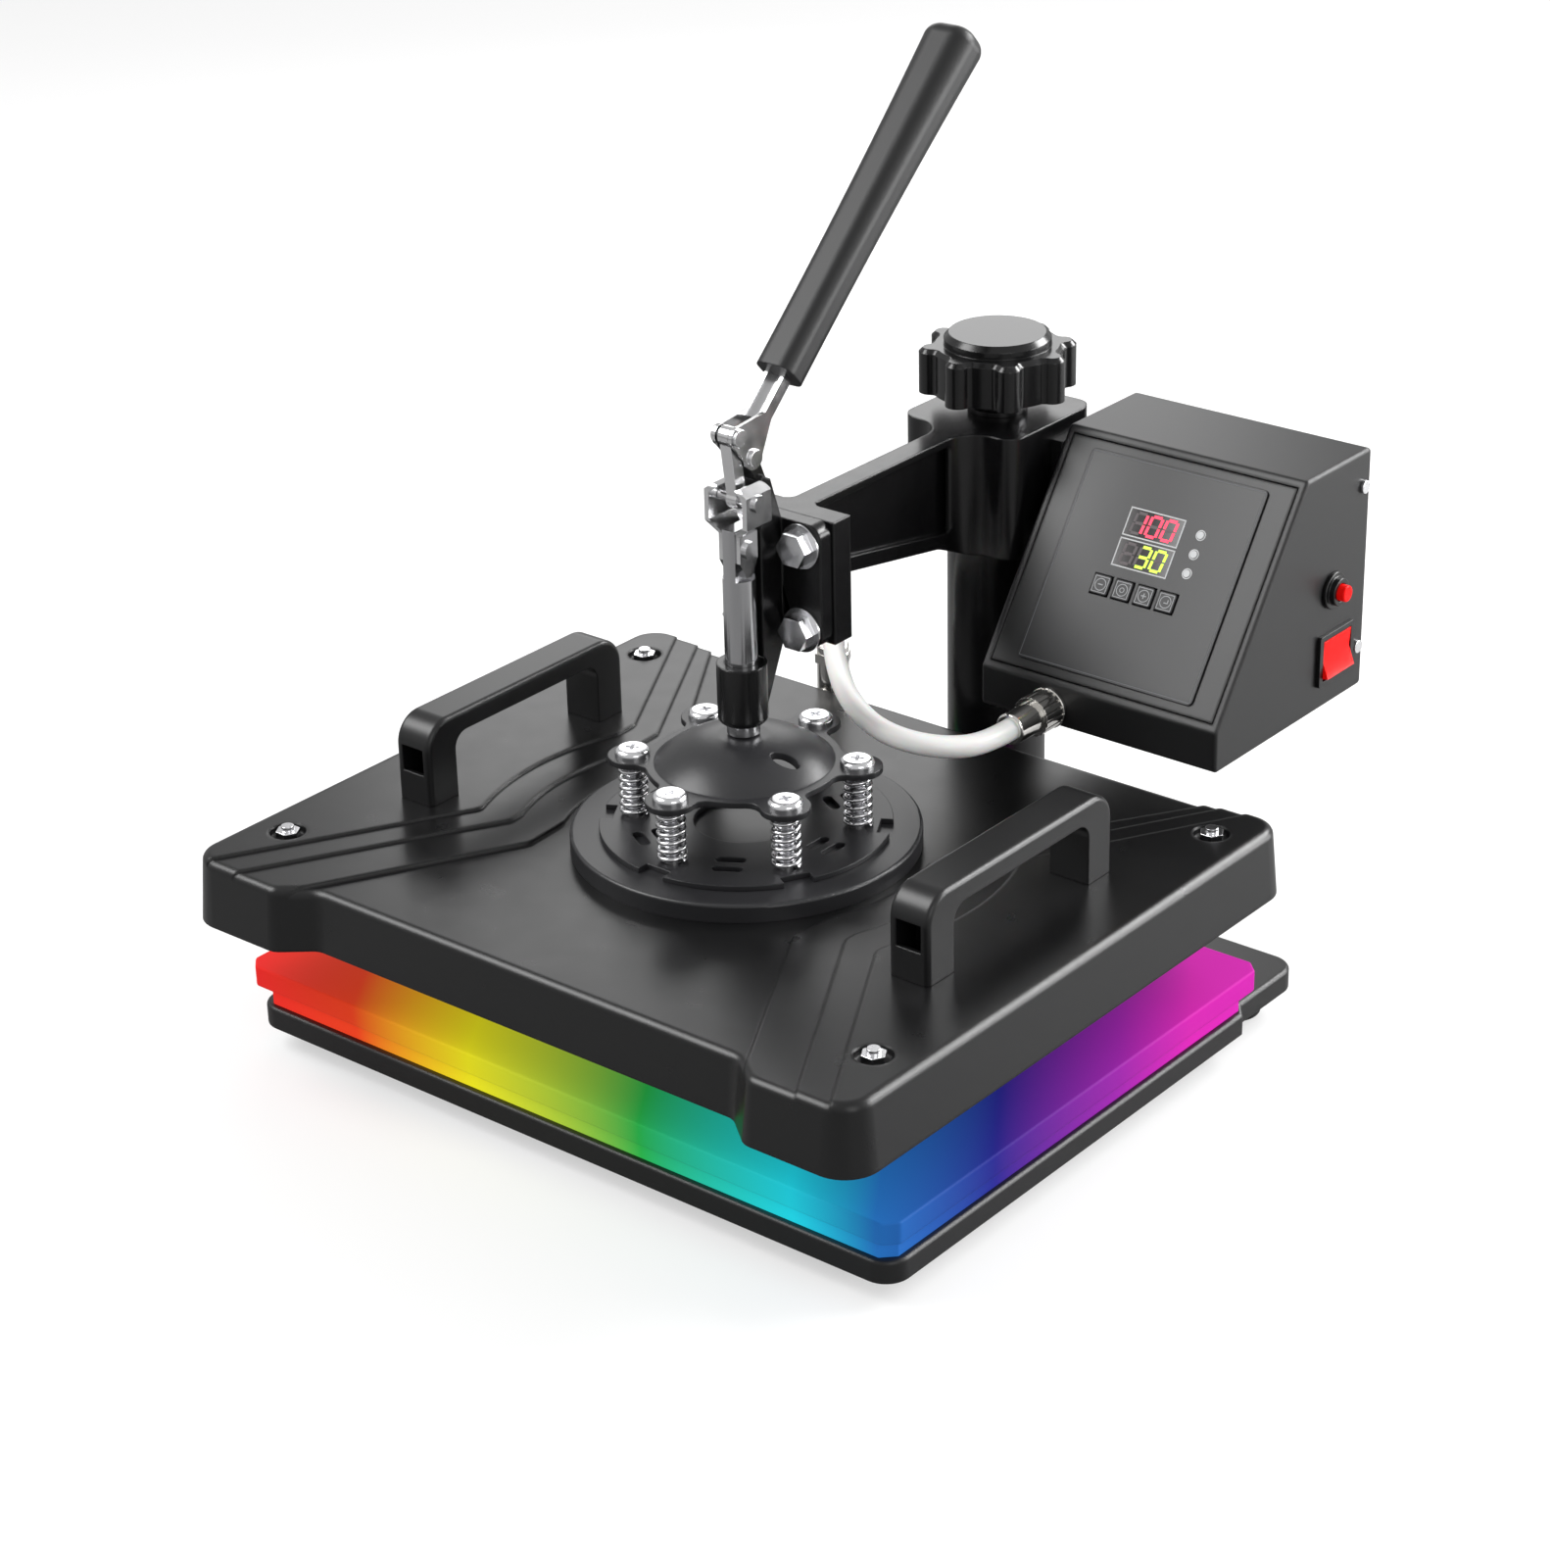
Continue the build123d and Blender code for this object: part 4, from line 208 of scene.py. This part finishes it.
# Turned brass of the bush: only its rim shows, as a thin yellow line.
turned_brass = new_finish("turned brass", "#c8a35a", 0.3, 1.0)
# Inside the head: a matt grey coat, a dull annealed tube and chalky insulation.
plate_coat = grain(new_finish("non-stick plate coat", "#3a3a3c", 0.5), 0.5, 0.01)
tube_steel = new_finish("annealed tube", "#8d8984", 0.4, 1.0)
fibre_board = grain(new_finish("fibre board", "#d9d4c6", 0.9), 1.2, 0.08)
# Solder mask on the board inside the control box.
board_green = new_finish("circuit board", "#1d4a2a", 0.5)

# %% [markdown]
# The pad and the table under it carry one sprayed fade that runs round the colour circle, from red
# at the front left corner to magenta at the back right. The place along the fade is worked out
# from the surface's own position, so both layers match wherever they are cut. Both also carry
# painted light, the table more: an emission that keeps them evenly bright in the shade of the head.

# %% The rainbow fade
# How much a metre across and a metre back count along the fade, and where it starts and ends.
FADE_ACROSS = 0.6
FADE_BACK = 0.4
FADE_START = -0.185
FADE_END = 0.15
# The share of the colour that is lit by the lamps, and the strength of the painted light on each
# layer.
DYE_SHARE = 0.6
PAD_PAINTED_LIGHT = 0.58
TABLE_PAINTED_LIGHT = 0.78
FADE = [
    (0.0, "#e02828"),  # red
    (0.12, "#e04020"),  # vermilion
    (0.25, "#e0d820"),  # yellow
    (0.43, "#28a848"),  # green
    (0.58, "#20c8d8"),  # cyan
    (0.66, "#2468b0"),  # blue
    (0.76, "#242480"),  # indigo
    (0.87, "#882094"),  # purple
    (0.94, "#bc209c"),  # magenta
]


def fade_finish(name, painted_light):
    """The sprayed fade. Part of its colour is lit, and an emission, painted light, keeps it bright
    in the shade under the head.
    """
    material = new_finish(name, "#ffffff", 0.5, Emission_Strength=painted_light, Specular_IOR_Level=0.05)
    tree = material.node_tree
    shader = tree.nodes["Principled BSDF"]
    where = add_node(material, "ShaderNodeTexCoord")
    along = add_node(material, "ShaderNodeVectorMath", operation="DOT_PRODUCT")
    along.inputs[1].default_value = (FADE_ACROSS, FADE_BACK, 0)
    spread = add_node(material, "ShaderNodeMapRange", From_Min=FADE_START, From_Max=FADE_END)
    ramp = add_node(material, "ShaderNodeValToRGB")
    stops = ramp.color_ramp.elements
    stops[0].position = FADE[0][0]
    stops[0].color = colour(FADE[0][1])
    stops[1].position = FADE[-1][0]
    stops[1].color = colour(FADE[-1][1])
    for position, hex_code in FADE[1:-1]:
        stops.new(position).color = colour(hex_code)
    tree.links.new(where.outputs["Object"], along.inputs[0])
    tree.links.new(along.outputs["Value"], spread.inputs["Value"])
    tree.links.new(spread.outputs["Result"], ramp.inputs["Fac"])
    dye = add_node(material, "ShaderNodeVectorMath", operation="SCALE", Scale=DYE_SHARE)
    tree.links.new(ramp.outputs["Color"], dye.inputs["Vector"])
    tree.links.new(dye.outputs["Vector"], shader.inputs["Base Color"])
    # The emission is painted light: it keeps the fade bright in the shade of the head.
    tree.links.new(ramp.outputs["Color"], shader.inputs["Emission Color"])
    return material


pad_fade = fade_finish("fade on the pad", PAD_PAINTED_LIGHT)
table_fade = fade_finish("fade on the table", TABLE_PAINTED_LIGHT)
print("fade stops", len(FADE))

# %% [markdown]
# The panel is a printed film. Its displays are lit, so their digits glow. The switches are clear
# red plastic, and a faint emission on them is painted light that keeps their red deep.

# %% Panel and switch finishes
# Textured polyester film: a dull black, against which the inks stand out flat.
film = grain(new_finish("printed film", "#161618", 0.36), 0.4, 0.004)
key_film = new_finish("key film", "#1d1d1f", 0.4)
ink_dim = new_finish("dim grey ink", "#5f6164", 0.6)
ink_grey = new_finish("grey ink", "#b4b6b8", 0.6)
ink_white = new_finish("white ink", "#d9dadb", 0.6)
# Smoked acrylic, which mirrors sharply, with lit and unlit segments in it.
RED_GLOW = "#f5284a"
GREEN_GLOW = "#b4dc34"
display_smoke = new_finish("smoked display window", "#171011", 0.15)
digit_off = new_finish("unlit segment", "#4c4043", 0.4)
digit_red = new_finish(
    "lit red segment", RED_GLOW, 0.4, Emission_Color=colour(RED_GLOW), Emission_Strength=1.6
)
digit_green = new_finish(
    "lit green segment", GREEN_GLOW, 0.4, Emission_Color=colour(GREEN_GLOW), Emission_Strength=1.4
)
# Milky lamp caps, unlit.
lamp_white = new_finish("unlit indicator lamp", "#c9cbcc", 0.3)
# Clear red polycarbonate, with a faint emission that is painted light keeping its red deep, on the
# rocker and the reset button alike.
switch_red = new_finish(
    "red rocker plastic", "#d80a08", 0.25, Specular_IOR_Level=0.1,
    Emission_Color=colour("#e0140f"), Emission_Strength=0.25,
)
# Silicone sleeve: white and a little see-through, so its shaded side stays pale.
silicone_sleeve = new_finish(
    "silicone sleeve", "#f2f2f0", 0.34, Subsurface_Weight=0.25, Subsurface_Scale=0.004
)

# %% [markdown]
# Each CAD node keeps its shape and gets its finish in the slots it already has.

# %% Finishes on the solids
FINISH_OF = {
    cover_enamel: ["platen_cover"],
    disc_enamel: ["mounting_disc", "spring_plate", "notched_plate"],
    casting_coat: ["swing_arm", "clamp_body", "post_flange", "post_tube", "box_bracket"],
    box_coat: ["box_shell", "box_panel", "box_back_cover"],
    base_coat: ["base_plate"],
    handle_plastic: ["left_handle", "right_handle"],
    knob_plastic: ["pressure_knob"],
    foot_rubber: ["rubber_feet"],
    grip_rubber: ["lever_grip"],
    switch_plastic: ["reset_bezel", "rocker_bezel", "power_inlet"],
    bright_zinc: ["base_bolts", "post_bolts", "knob_set_screw", "clamp_bolts", "bracket_bolts",
                  "shoulder_screws", "corner_bolts", "handle_screws", "plunger_nut", "box_screws"],
    plated_steel: ["lever_channel", "toggle_link", "plunger_clevis", "lever_pins", "clevis_pin",
                   "clevis_rivet"],
    ground_rod: ["plunger_rod", "pressure_spindle"],
    nickel: ["box_socket", "cable_plug", "cable_gland"],
    turned_brass: ["arm_bush"],
    plate_coat: ["heating_plate"],
    tube_steel: ["heating_element"],
    fibre_board: ["insulation_board"],
    board_green: ["circuit_board"],
    pad_fade: ["silicone_pad"],
    table_fade: ["lower_table"],
    film: ["panel_overlay"],
    display_smoke: ["display_modules"],
    lamp_white: ["indicator_lights"],
    key_film: ["minus_key", "menu_key", "plus_key", "enter_key"],
    switch_red: ["reset_button", "power_rocker"],
}
for finish, names in FINISH_OF.items():
    for name in names:
        for material_slot in nodes[name].material_slots:
            material_slot.material = finish
print("finished nodes", sum(len(names) for names in FINISH_OF.values()))

# %% [markdown]
# Real edges are never razor sharp: a sheet's bend, a casting's corner and a screw's rim all catch a
# thin line of light. Modifiers weld the mesh, turn its flat triangles back into whole faces, and
# bevel what is left sharp, so the solids themselves stay as they are. Short edges hold a bevel
# back, so on the black pieces the grain's own edge does most of the work. The cover has fillets
# of its own and is left out.

# %% Softened edges
SHARP = math.radians(28)
FLAT = math.radians(0.4)
SAME_SPOT = 0.01 * MM


def soften(name, width_mm):
    """Rounds a node's sharp edges with live modifiers and shades it smoothly.

    The normals that came with the solid are cleared first, because they would hide the rounding.
    """
    piece = nodes[name]
    bpy.context.view_layer.objects.active = piece
    piece.select_set(True)
    bpy.ops.mesh.customdata_custom_splitnormals_clear()
    bpy.ops.object.shade_smooth()
    piece.select_set(False)
    weld = piece.modifiers.new("weld", "WELD")
    weld.merge_threshold = SAME_SPOT
    whole = piece.modifiers.new("whole faces", "DECIMATE")
    whole.decimate_type = "DISSOLVE"
    whole.angle_limit = FLAT
    round_off = piece.modifiers.new("rounded edges", "BEVEL")
    round_off.width = width_mm * MM
    round_off.segments = 2
    round_off.limit_method = "ANGLE"
    round_off.angle_limit = SHARP
    round_off.use_clamp_overlap = True
    even = piece.modifiers.new("even shading", "WEIGHTED_NORMAL")
    even.keep_sharp = True


EDGE_OF = {
    1.2: ["lower_table", "silicone_pad", "post_flange"],
    0.9: ["swing_arm", "clamp_body", "base_plate", "pressure_knob", "left_handle", "right_handle"],
    0.6: ["heating_plate", "cable_plug", "lever_channel", "plunger_clevis", "box_bracket"],
    0.5: ["clamp_bolts", "post_bolts", "cable_gland", "spring_plate", "toggle_link",
          "notched_plate", "rocker_bezel", "reset_bezel", "power_rocker"],
    0.35: ["panel_overlay", "box_panel", "corner_bolts", "shoulder_screws", "box_socket",
           "lever_pins", "plunger_rod", "box_screws", "power_inlet"],
}
for width, names in EDGE_OF.items():
    for name in names:
        soften(name, width)
print("softened nodes", sum(len(names) for names in EDGE_OF.values()))

# %% [markdown]
# Six compression springs stand round the mount. A spring is a round wire that climbs a helix, with
# a closed turn at each end, so it is drawn as a curve with a round bevel and then made a mesh.

# %% Pressure springs
# Sizes in mm. The heights are above the top of the cover.
SPRING_LOW = 7.0
SPRING_HIGH = 34.0
SPRING_RADIUS = 5.95
WIRE_RADIUS = 1.05
SPRING_TURNS = 7
SPRING_STEPS = 20
# Two closed turns lie this much further apart than the wire is thick.
CLOSED_PITCH = 1.05
# The screws stand round the plunger on this circle, the first of them at 30 degrees.
SCREW_CIRCLE = 51.5
SCREW_COUNT = 6
FIRST_SCREW = 30


def coil_height(part):
    """Height along the spring for a part of its turns: close at both ends, open between."""
    closed = 1 / SPRING_TURNS
    flat_rise = 2 * WIRE_RADIUS * CLOSED_PITCH
    free = SPRING_HIGH - SPRING_LOW - 2 * WIRE_RADIUS - 2 * flat_rise
    if part < closed:
        return flat_rise * part / closed
    if part > 1 - closed:
        return flat_rise + free + flat_rise * (part - 1 + closed) / closed
    return flat_rise + free * (part - closed) / (1 - 2 * closed)


def spring_at(x, y, name):
    """One round-wire spring standing at a place on the notched plate."""
    line = bpy.data.curves.new(name, "CURVE")
    line.dimensions = "3D"
    line.bevel_depth = WIRE_RADIUS * MM
    line.bevel_resolution = 2
    line.use_fill_caps = True
    spline = line.splines.new("POLY")
    steps = SPRING_TURNS * SPRING_STEPS
    spline.points.add(steps)
    for i, point in enumerate(spline.points):
        part = i / steps
        turn = 2 * math.pi * SPRING_TURNS * part
        spot = place(
            x + SPRING_RADIUS * math.cos(turn),
            y + SPRING_RADIUS * math.sin(turn),
            SPRING_LOW + WIRE_RADIUS + coil_height(part),
        )
        point.co = (*spot, 1)
    spring = bpy.data.objects.new(name, line)
    bpy.context.scene.collection.objects.link(spring)
    bpy.context.view_layer.objects.active = spring
    spring.select_set(True)
    bpy.ops.object.convert(target="MESH")
    bpy.ops.object.shade_smooth()
    spring = bpy.context.active_object
    spring.select_set(False)
    return spring


springs = []
for i in range(SCREW_COUNT):
    angle = math.radians(FIRST_SCREW + 360 / SCREW_COUNT * i)
    x = SCREW_CIRCLE * math.cos(angle)
    y = SCREW_CIRCLE * math.sin(angle)
    springs.append(spring_at(x, y, "spring_%d" % i))
bpy.ops.object.select_all(action="DESELECT")
for spring in springs:
    spring.select_set(True)
bpy.context.view_layer.objects.active = springs[0]
bpy.ops.object.join()
coil_set = bpy.context.active_object
coil_set.name = "round_wire_springs"
coil_set.data.materials.clear()
coil_set.data.materials.append(spring_steel)
coil_set.select_set(False)
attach(coil_set, "platen")
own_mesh(coil_set)
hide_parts("pressure_springs")
print("spring mesh faces", len(coil_set.data.polygons))

# %% [markdown]
# The head is fed by wires in one limp silicone sleeve. It leaves the plug towards the operator,
# turns back under the arm and drops into the gland behind the cover. Its route is a short list of
# points, and a smooth spline that follows them gives the line of a soft tube.

# %% The lead
# Sizes in mm. The points are measured from the middle of the cover's top.
LEAD_DIAMETER = 10.5
LEAD_ROUTE = [
    (79.0, 94.0, 38.0),
    (79.0, 75.2, 38.0),
    (69.6, 59.0, 39.5),
    (53.4, 49.6, 42.0),
    (34.6, 49.6, 44.5),
    (8.5, 64.5, 46.0),
    (-17.5, 89.0, 47.5),
    (-41.5, 116.5, 50.0),
    (-62.2, 144.2, 52.4),
    (-72.8, 156.4, 43.0),
    (-79.0, 163.5, 26.8),
    (-79.0, 163.5, 8.0),
]


def route_curve(name, bevel):
    """The lead's line as a NURBS spline, with or without its thickness."""
    line = bpy.data.curves.new(name, "CURVE")
    line.dimensions = "3D"
    line.resolution_u = 12
    line.bevel_depth = bevel
    line.bevel_resolution = 6
    line.use_fill_caps = bevel > 0
    spline = line.splines.new("NURBS")
    spline.points.add(len(LEAD_ROUTE) - 1)
    for point, spot in zip(spline.points, LEAD_ROUTE):
        point.co = (*place(*spot), 1)
    spline.order_u = 3
    spline.use_endpoint_u = True
    route = bpy.data.objects.new(name, line)
    bpy.context.scene.collection.objects.link(route)
    return route


thin = route_curve("lead_line", 0.0)
bpy.context.view_layer.update()
line_mesh = bpy.data.meshes.new_from_object(thin)
bpy.data.objects.remove(thin)
lead = route_curve("silicone_lead", LEAD_DIAMETER / 2 * MM)
bpy.context.view_layer.objects.active = lead
lead.select_set(True)
bpy.ops.object.convert(target="MESH")
bpy.ops.object.shade_smooth()
lead = bpy.context.active_object
lead.select_set(False)
lead.data.materials.clear()
lead.data.materials.append(silicone_sleeve)
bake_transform(lead)
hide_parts("heater_cable")

# %% [markdown]
# Print on the panel is thin ink, so each mark is a flat bar a few hundredths of a millimetre thick.
# Bars are made flat, in the panel's own plane, and then laid on the slope together.

# %% Flat bars on the panel


def bar(x, u, width, height, lift=OVERLAY_TOP, thick=0.06, turn=0.0):
    """One bar, in mm across and up the panel's slope, selected and ready to be joined."""
    bpy.ops.mesh.primitive_cube_add(size=1)
    piece = bpy.context.active_object
    piece.data.transform(Matrix.Diagonal((width * MM, height * MM, thick * MM, 1)))
    piece.data.transform(Matrix.Rotation(turn, 4, "Z"))
    piece.data.transform(Matrix.Translation((x * MM, u * MM, lift + thick * MM / 2)))
    return piece


def ring(x, u, radius, line, lift=OVERLAY_TOP, thick=0.06):
    """One printed circle, in mm."""
    bpy.ops.mesh.primitive_torus_add(
        major_radius=radius * MM, minor_radius=line * MM / 2, major_segments=28, minor_segments=6
    )
    piece = bpy.context.active_object
    piece.data.transform(Matrix.Diagonal((1, 1, thick / line, 1)))
    piece.data.transform(Matrix.Translation((x * MM, u * MM, lift + thick * MM / 2)))
    return piece


def lay_on_panel(pieces, name, finish, body):
    """Joins pieces, lays them on the slope and lets them ride with a body."""
    bpy.ops.object.select_all(action="DESELECT")
    for piece in pieces:
        piece.select_set(True)
    bpy.context.view_layer.objects.active = pieces[0]
    bpy.ops.object.join()
    joined = bpy.context.active_object
    joined.name = name
    joined.data.transform(PANEL)
    joined.data.materials.clear()
    joined.data.materials.append(finish)
    joined.select_set(False)
    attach(joined, body)


# %% [markdown]
# A seven-segment digit leans a little to the right. Lit segments glow, and the others show as
# faint grey bars, as they do behind a real smoked window.

# %% Digits
# Sizes in mm, x across the panel and u up its slope.
DIGIT_WIDTH = 5.6
DIGIT_HEIGHT = 9.6
SEGMENT = 1.4
SLANT = 0.1
FLAT_BAR = DIGIT_WIDTH - 0.9 * SEGMENT
UPRIGHT_BAR = DIGIT_HEIGHT / 2 - 0.5 * SEGMENT
SEGMENT_LIFT = OVERLAY_TOP + PRINT_LIFT
LIT = {"0": "abcdef", "1": "bc", "3": "abcdg", " ": ""}


def digit(x, u, character):
    """The lit and the unlit bars of one character, centred on a place in mm."""
    half_w = DIGIT_WIDTH / 2
    half_h = DIGIT_HEIGHT / 2
    flat = {"a": half_h, "g": 0.0, "d": -half_h}
    upright = {"b": (1, 1), "c": (1, -1), "e": (-1, -1), "f": (-1, 1)}
    lit = []
    unlit = []
    for letter in "abcdefg":
        if letter in flat:
            rise = flat[letter]
            piece = bar(x + SLANT * rise, u + rise, FLAT_BAR, SEGMENT, SEGMENT_LIFT)
        else:
            side, level = upright[letter]
            rise = level * half_h / 2
            piece = bar(
                x + side * half_w + SLANT * rise, u + rise, SEGMENT, UPRIGHT_BAR,
                SEGMENT_LIFT, turn=-SLANT,
            )
        (lit if letter in LIT[character] else unlit).append(piece)
    return lit, unlit


WINDOW_X = 103.1
UPPER_WINDOW = 83.1
LOWER_WINDOW = 68.2
DIGIT_PITCH = 8.2
DISPLAYS = [
    ("temperature", UPPER_WINDOW, "100", digit_red),
    ("time", LOWER_WINDOW, " 30", digit_green),
]
for label, u, text, finish in DISPLAYS:
    glowing = []
    dark = []
    for i, character in enumerate(text):
        lit, unlit = digit(WINDOW_X + DIGIT_PITCH * (i - 1), u, character)
        glowing += lit
        dark += unlit
    lay_on_panel(glowing, label + "_digits", finish, "arm")
    lay_on_panel(dark, label + "_unlit", digit_off, "arm")
print("digits laid")

# %% [markdown]
# The film has a fine grey border line, frames round the two windows, rings round the lamps, and a
# ringed sign in a frame on each key: minus, a small ring, plus and a bent stroke for enter.

# %% Printed lines
FILM_LEFT = 57.0
FILM_RIGHT = 153.3
FILM_LOW = 8.5
FILM_HIGH = 112.5
BORDER_INSET = 1.2
BORDER_LINE = 0.35
WINDOW_HALF_WIDTH = 14.7
WINDOW_HALF_HEIGHT = 6.6
WINDOW_LINE = 0.6
LAMP_COUNT = 3
LAMP_X = 127.8
LAMP_HIGH = 84.9
LAMP_PITCH = 9.3
LAMP_RING = 2.3
LAMP_LINE = 0.5


def outline(left, right, low, high, line, lift=OVERLAY_TOP):
    """Four bars round a rectangle, in mm."""
    middle_x = (left + right) / 2
    middle_u = (low + high) / 2
    return [
        bar(middle_x, low, right - left + line, line, lift),
        bar(middle_x, high, right - left + line, line, lift),
        bar(left, middle_u, line, high - low, lift),
        bar(right, middle_u, line, high - low, lift),
    ]


border = outline(
    FILM_LEFT + BORDER_INSET, FILM_RIGHT - BORDER_INSET,
    FILM_LOW + BORDER_INSET, FILM_HIGH - BORDER_INSET, BORDER_LINE,
)
lay_on_panel(border, "film_border", ink_dim, "arm")
frames = []
for u in (UPPER_WINDOW, LOWER_WINDOW):
    frames += outline(
        WINDOW_X - WINDOW_HALF_WIDTH, WINDOW_X + WINDOW_HALF_WIDTH,
        u - WINDOW_HALF_HEIGHT, u + WINDOW_HALF_HEIGHT, WINDOW_LINE,
    )
for i in range(LAMP_COUNT):
    frames.append(ring(LAMP_X, LAMP_HIGH - LAMP_PITCH * i, LAMP_RING, LAMP_LINE))
lay_on_panel(frames, "window_frames", ink_white, "arm")

KEY_TOP = 2.0 * MM
KEY_ROW = 51.0
KEY_LEFT = 87.2
KEY_PITCH = 11.9
KEY_HALF = 3.7
KEY_LINE = 0.3
SIGN_RING = 2.8
MENU_RING = 1.1
RING_LINE = 0.35
SIGN_LENGTH = 2.6
SIGN_WIDTH = 0.5
ARROW_WIDTH = 0.45
for i, name in enumerate(("minus_key", "menu_key", "plus_key", "enter_key")):
    x = KEY_LEFT + KEY_PITCH * i
    sign = outline(
        x - KEY_HALF, x + KEY_HALF, KEY_ROW - KEY_HALF, KEY_ROW + KEY_HALF, KEY_LINE, KEY_TOP
    )
    sign.append(ring(x, KEY_ROW, SIGN_RING, RING_LINE, KEY_TOP))
    if name in ("minus_key", "plus_key"):
        sign.append(bar(x, KEY_ROW, SIGN_LENGTH, SIGN_WIDTH, KEY_TOP))
    if name == "plus_key":
        sign.append(bar(x, KEY_ROW, SIGN_WIDTH, SIGN_LENGTH, KEY_TOP))
    if name == "menu_key":
        sign.append(ring(x, KEY_ROW, MENU_RING, RING_LINE, KEY_TOP))
    if name == "enter_key":
        # One stroke along the foot, and one up from its right end.
        sign.append(bar(x + 0.3, KEY_ROW - 0.5, 2.2, ARROW_WIDTH, KEY_TOP))
        sign.append(bar(x + 1.2, KEY_ROW + 0.3, ARROW_WIDTH, 1.8, KEY_TOP))
    lay_on_panel(sign, name + "_sign", ink_grey, name)
print("print laid")

# %% [markdown]
# The press stands on a pale floor in a bright studio. Black pieces show little but what they
# mirror, so each light has a place to be mirrored from. The key light over the front left draws
# the lines along the front edges, and a second light fills from the right. Behind the press, a
# strip draws the lines along the right-hand edges, a low card brightens the right-hand sides, and
# a small card is what the flat tops mirror. The floor and the sky are paler to the camera than in
# reflections, which would otherwise wash out the blacks.

# %% Floor, lights and world
FLOOR_HALF = 6.0
FLOOR_MIRRORED = 0.22
FLOOR_SEEN = 0.93
FLOOR_GLOW = 0.55
SKY_MIRRORED = 0.55
SKY_SEEN = 1.0
bpy.ops.mesh.primitive_plane_add(size=2 * FLOOR_HALF, location=(0, 0, 0))
floor = bpy.context.active_object
floor.name = "studio_floor"
floor_finish = new_finish("pale floor", "#f7f7f7", 0.6)
tree = floor_finish.node_tree
rays = add_node(floor_finish, "ShaderNodeLightPath")
paleness = add_node(
    floor_finish, "ShaderNodeMapRange", To_Min=FLOOR_MIRRORED, To_Max=FLOOR_SEEN
)
tree.links.new(rays.outputs["Is Camera Ray"], paleness.inputs["Value"])
tree.links.new(paleness.outputs["Result"], tree.nodes["Principled BSDF"].inputs["Base Color"])
white = add_node(floor_finish, "ShaderNodeEmission", Color=(1, 1, 1, 1), Strength=1.0)
mix = add_node(floor_finish, "ShaderNodeMixShader")
share = add_node(floor_finish, "ShaderNodeMath", operation="MULTIPLY")
share.inputs[1].default_value = FLOOR_GLOW
tree.links.new(rays.outputs["Is Camera Ray"], share.inputs[0])
tree.links.new(share.outputs["Value"], mix.inputs["Fac"])
tree.links.new(tree.nodes["Principled BSDF"].outputs["BSDF"], mix.inputs[1])
tree.links.new(white.outputs["Emission"], mix.inputs[2])
tree.links.new(mix.outputs["Shader"], tree.nodes["Material Output"].inputs["Surface"])
floor.data.materials.append(floor_finish)


def soft_light(name, spot, aim, size, power):
    """A rectangular area lamp that faces a point, in metres and watts."""
    lamp = bpy.data.lights.new(name, "AREA")
    lamp.shape = "RECTANGLE"
    lamp.size = size[0]
    lamp.size_y = size[1]
    lamp.energy = power
    holder = bpy.data.objects.new(name, lamp)
    holder.location = spot
    holder.rotation_euler = (Vector(aim) - Vector(spot)).to_track_quat("-Z", "Y").to_euler()
    bpy.context.scene.collection.objects.link(holder)


MIDDLE = (0, 0, 0.15)
soft_light("key_light", (-1.1, -0.9, 1.6), MIDDLE, (1.3, 1.0), 32)
soft_light("fill_light", (1.7, -0.9, 0.9), MIDDLE, (1.0, 1.2), 6)
soft_light("back_strip", (0.9, 1.5, 1.25), MIDDLE, (1.8, 0.5), 50)
soft_light("low_card", (1.35, 1.25, 0.35), (0, 0, 0.1), (1.3, 0.5), 22)
soft_light("back_card", (-0.96, 1.19, 0.76), (-0.1, 0.15, 0.11), (0.8, 0.6), 3.0)
world = bpy.data.worlds.new("studio")
bpy.context.scene.world = world
world.use_nodes = True
backdrop = world.node_tree.nodes["Background"]
backdrop.inputs["Color"].default_value = (1, 1, 1, 1)
world_rays = add_node(world, "ShaderNodeLightPath")
level = add_node(world, "ShaderNodeMapRange", To_Min=SKY_MIRRORED, To_Max=SKY_SEEN)
world.node_tree.links.new(world_rays.outputs["Is Camera Ray"], level.inputs["Value"])
world.node_tree.links.new(level.outputs["Result"], backdrop.inputs["Strength"])
bpy.context.scene.view_settings.view_transform = "Standard"

# %% [markdown]
# The camera looks down from the operator's right, with a long lens, so lines stay nearly parallel.

# %% Camera
CAMERA_AZIMUTH = math.radians(39.77)
CAMERA_ELEVATION = math.radians(25.78)
CAMERA_ROLL = math.radians(-1.44)
CAMERA_SPOT = place(971.3, -1145.6, 749.5)
SENSOR_MM = 36.0
LENS_MM = 84.58
lens = bpy.data.cameras.new("camera")
lens.sensor_fit = "VERTICAL"
lens.sensor_height = SENSOR_MM
lens.lens = LENS_MM
camera = bpy.data.objects.new("camera", lens)
back = Vector((
    math.sin(CAMERA_AZIMUTH) * math.cos(CAMERA_ELEVATION),
    -math.cos(CAMERA_AZIMUTH) * math.cos(CAMERA_ELEVATION),
    math.sin(CAMERA_ELEVATION),
))
right = Vector((math.cos(CAMERA_AZIMUTH), math.sin(CAMERA_AZIMUTH), 0))
up = back.cross(right)
rolled_right = math.cos(CAMERA_ROLL) * right + math.sin(CAMERA_ROLL) * up
rolled_up = -math.sin(CAMERA_ROLL) * right + math.cos(CAMERA_ROLL) * up
turn = Matrix((rolled_right, rolled_up, back)).transposed().to_4x4()
camera.matrix_world = Matrix.Translation(CAMERA_SPOT) @ turn
bpy.context.scene.collection.objects.link(camera)
bpy.context.scene.camera = camera
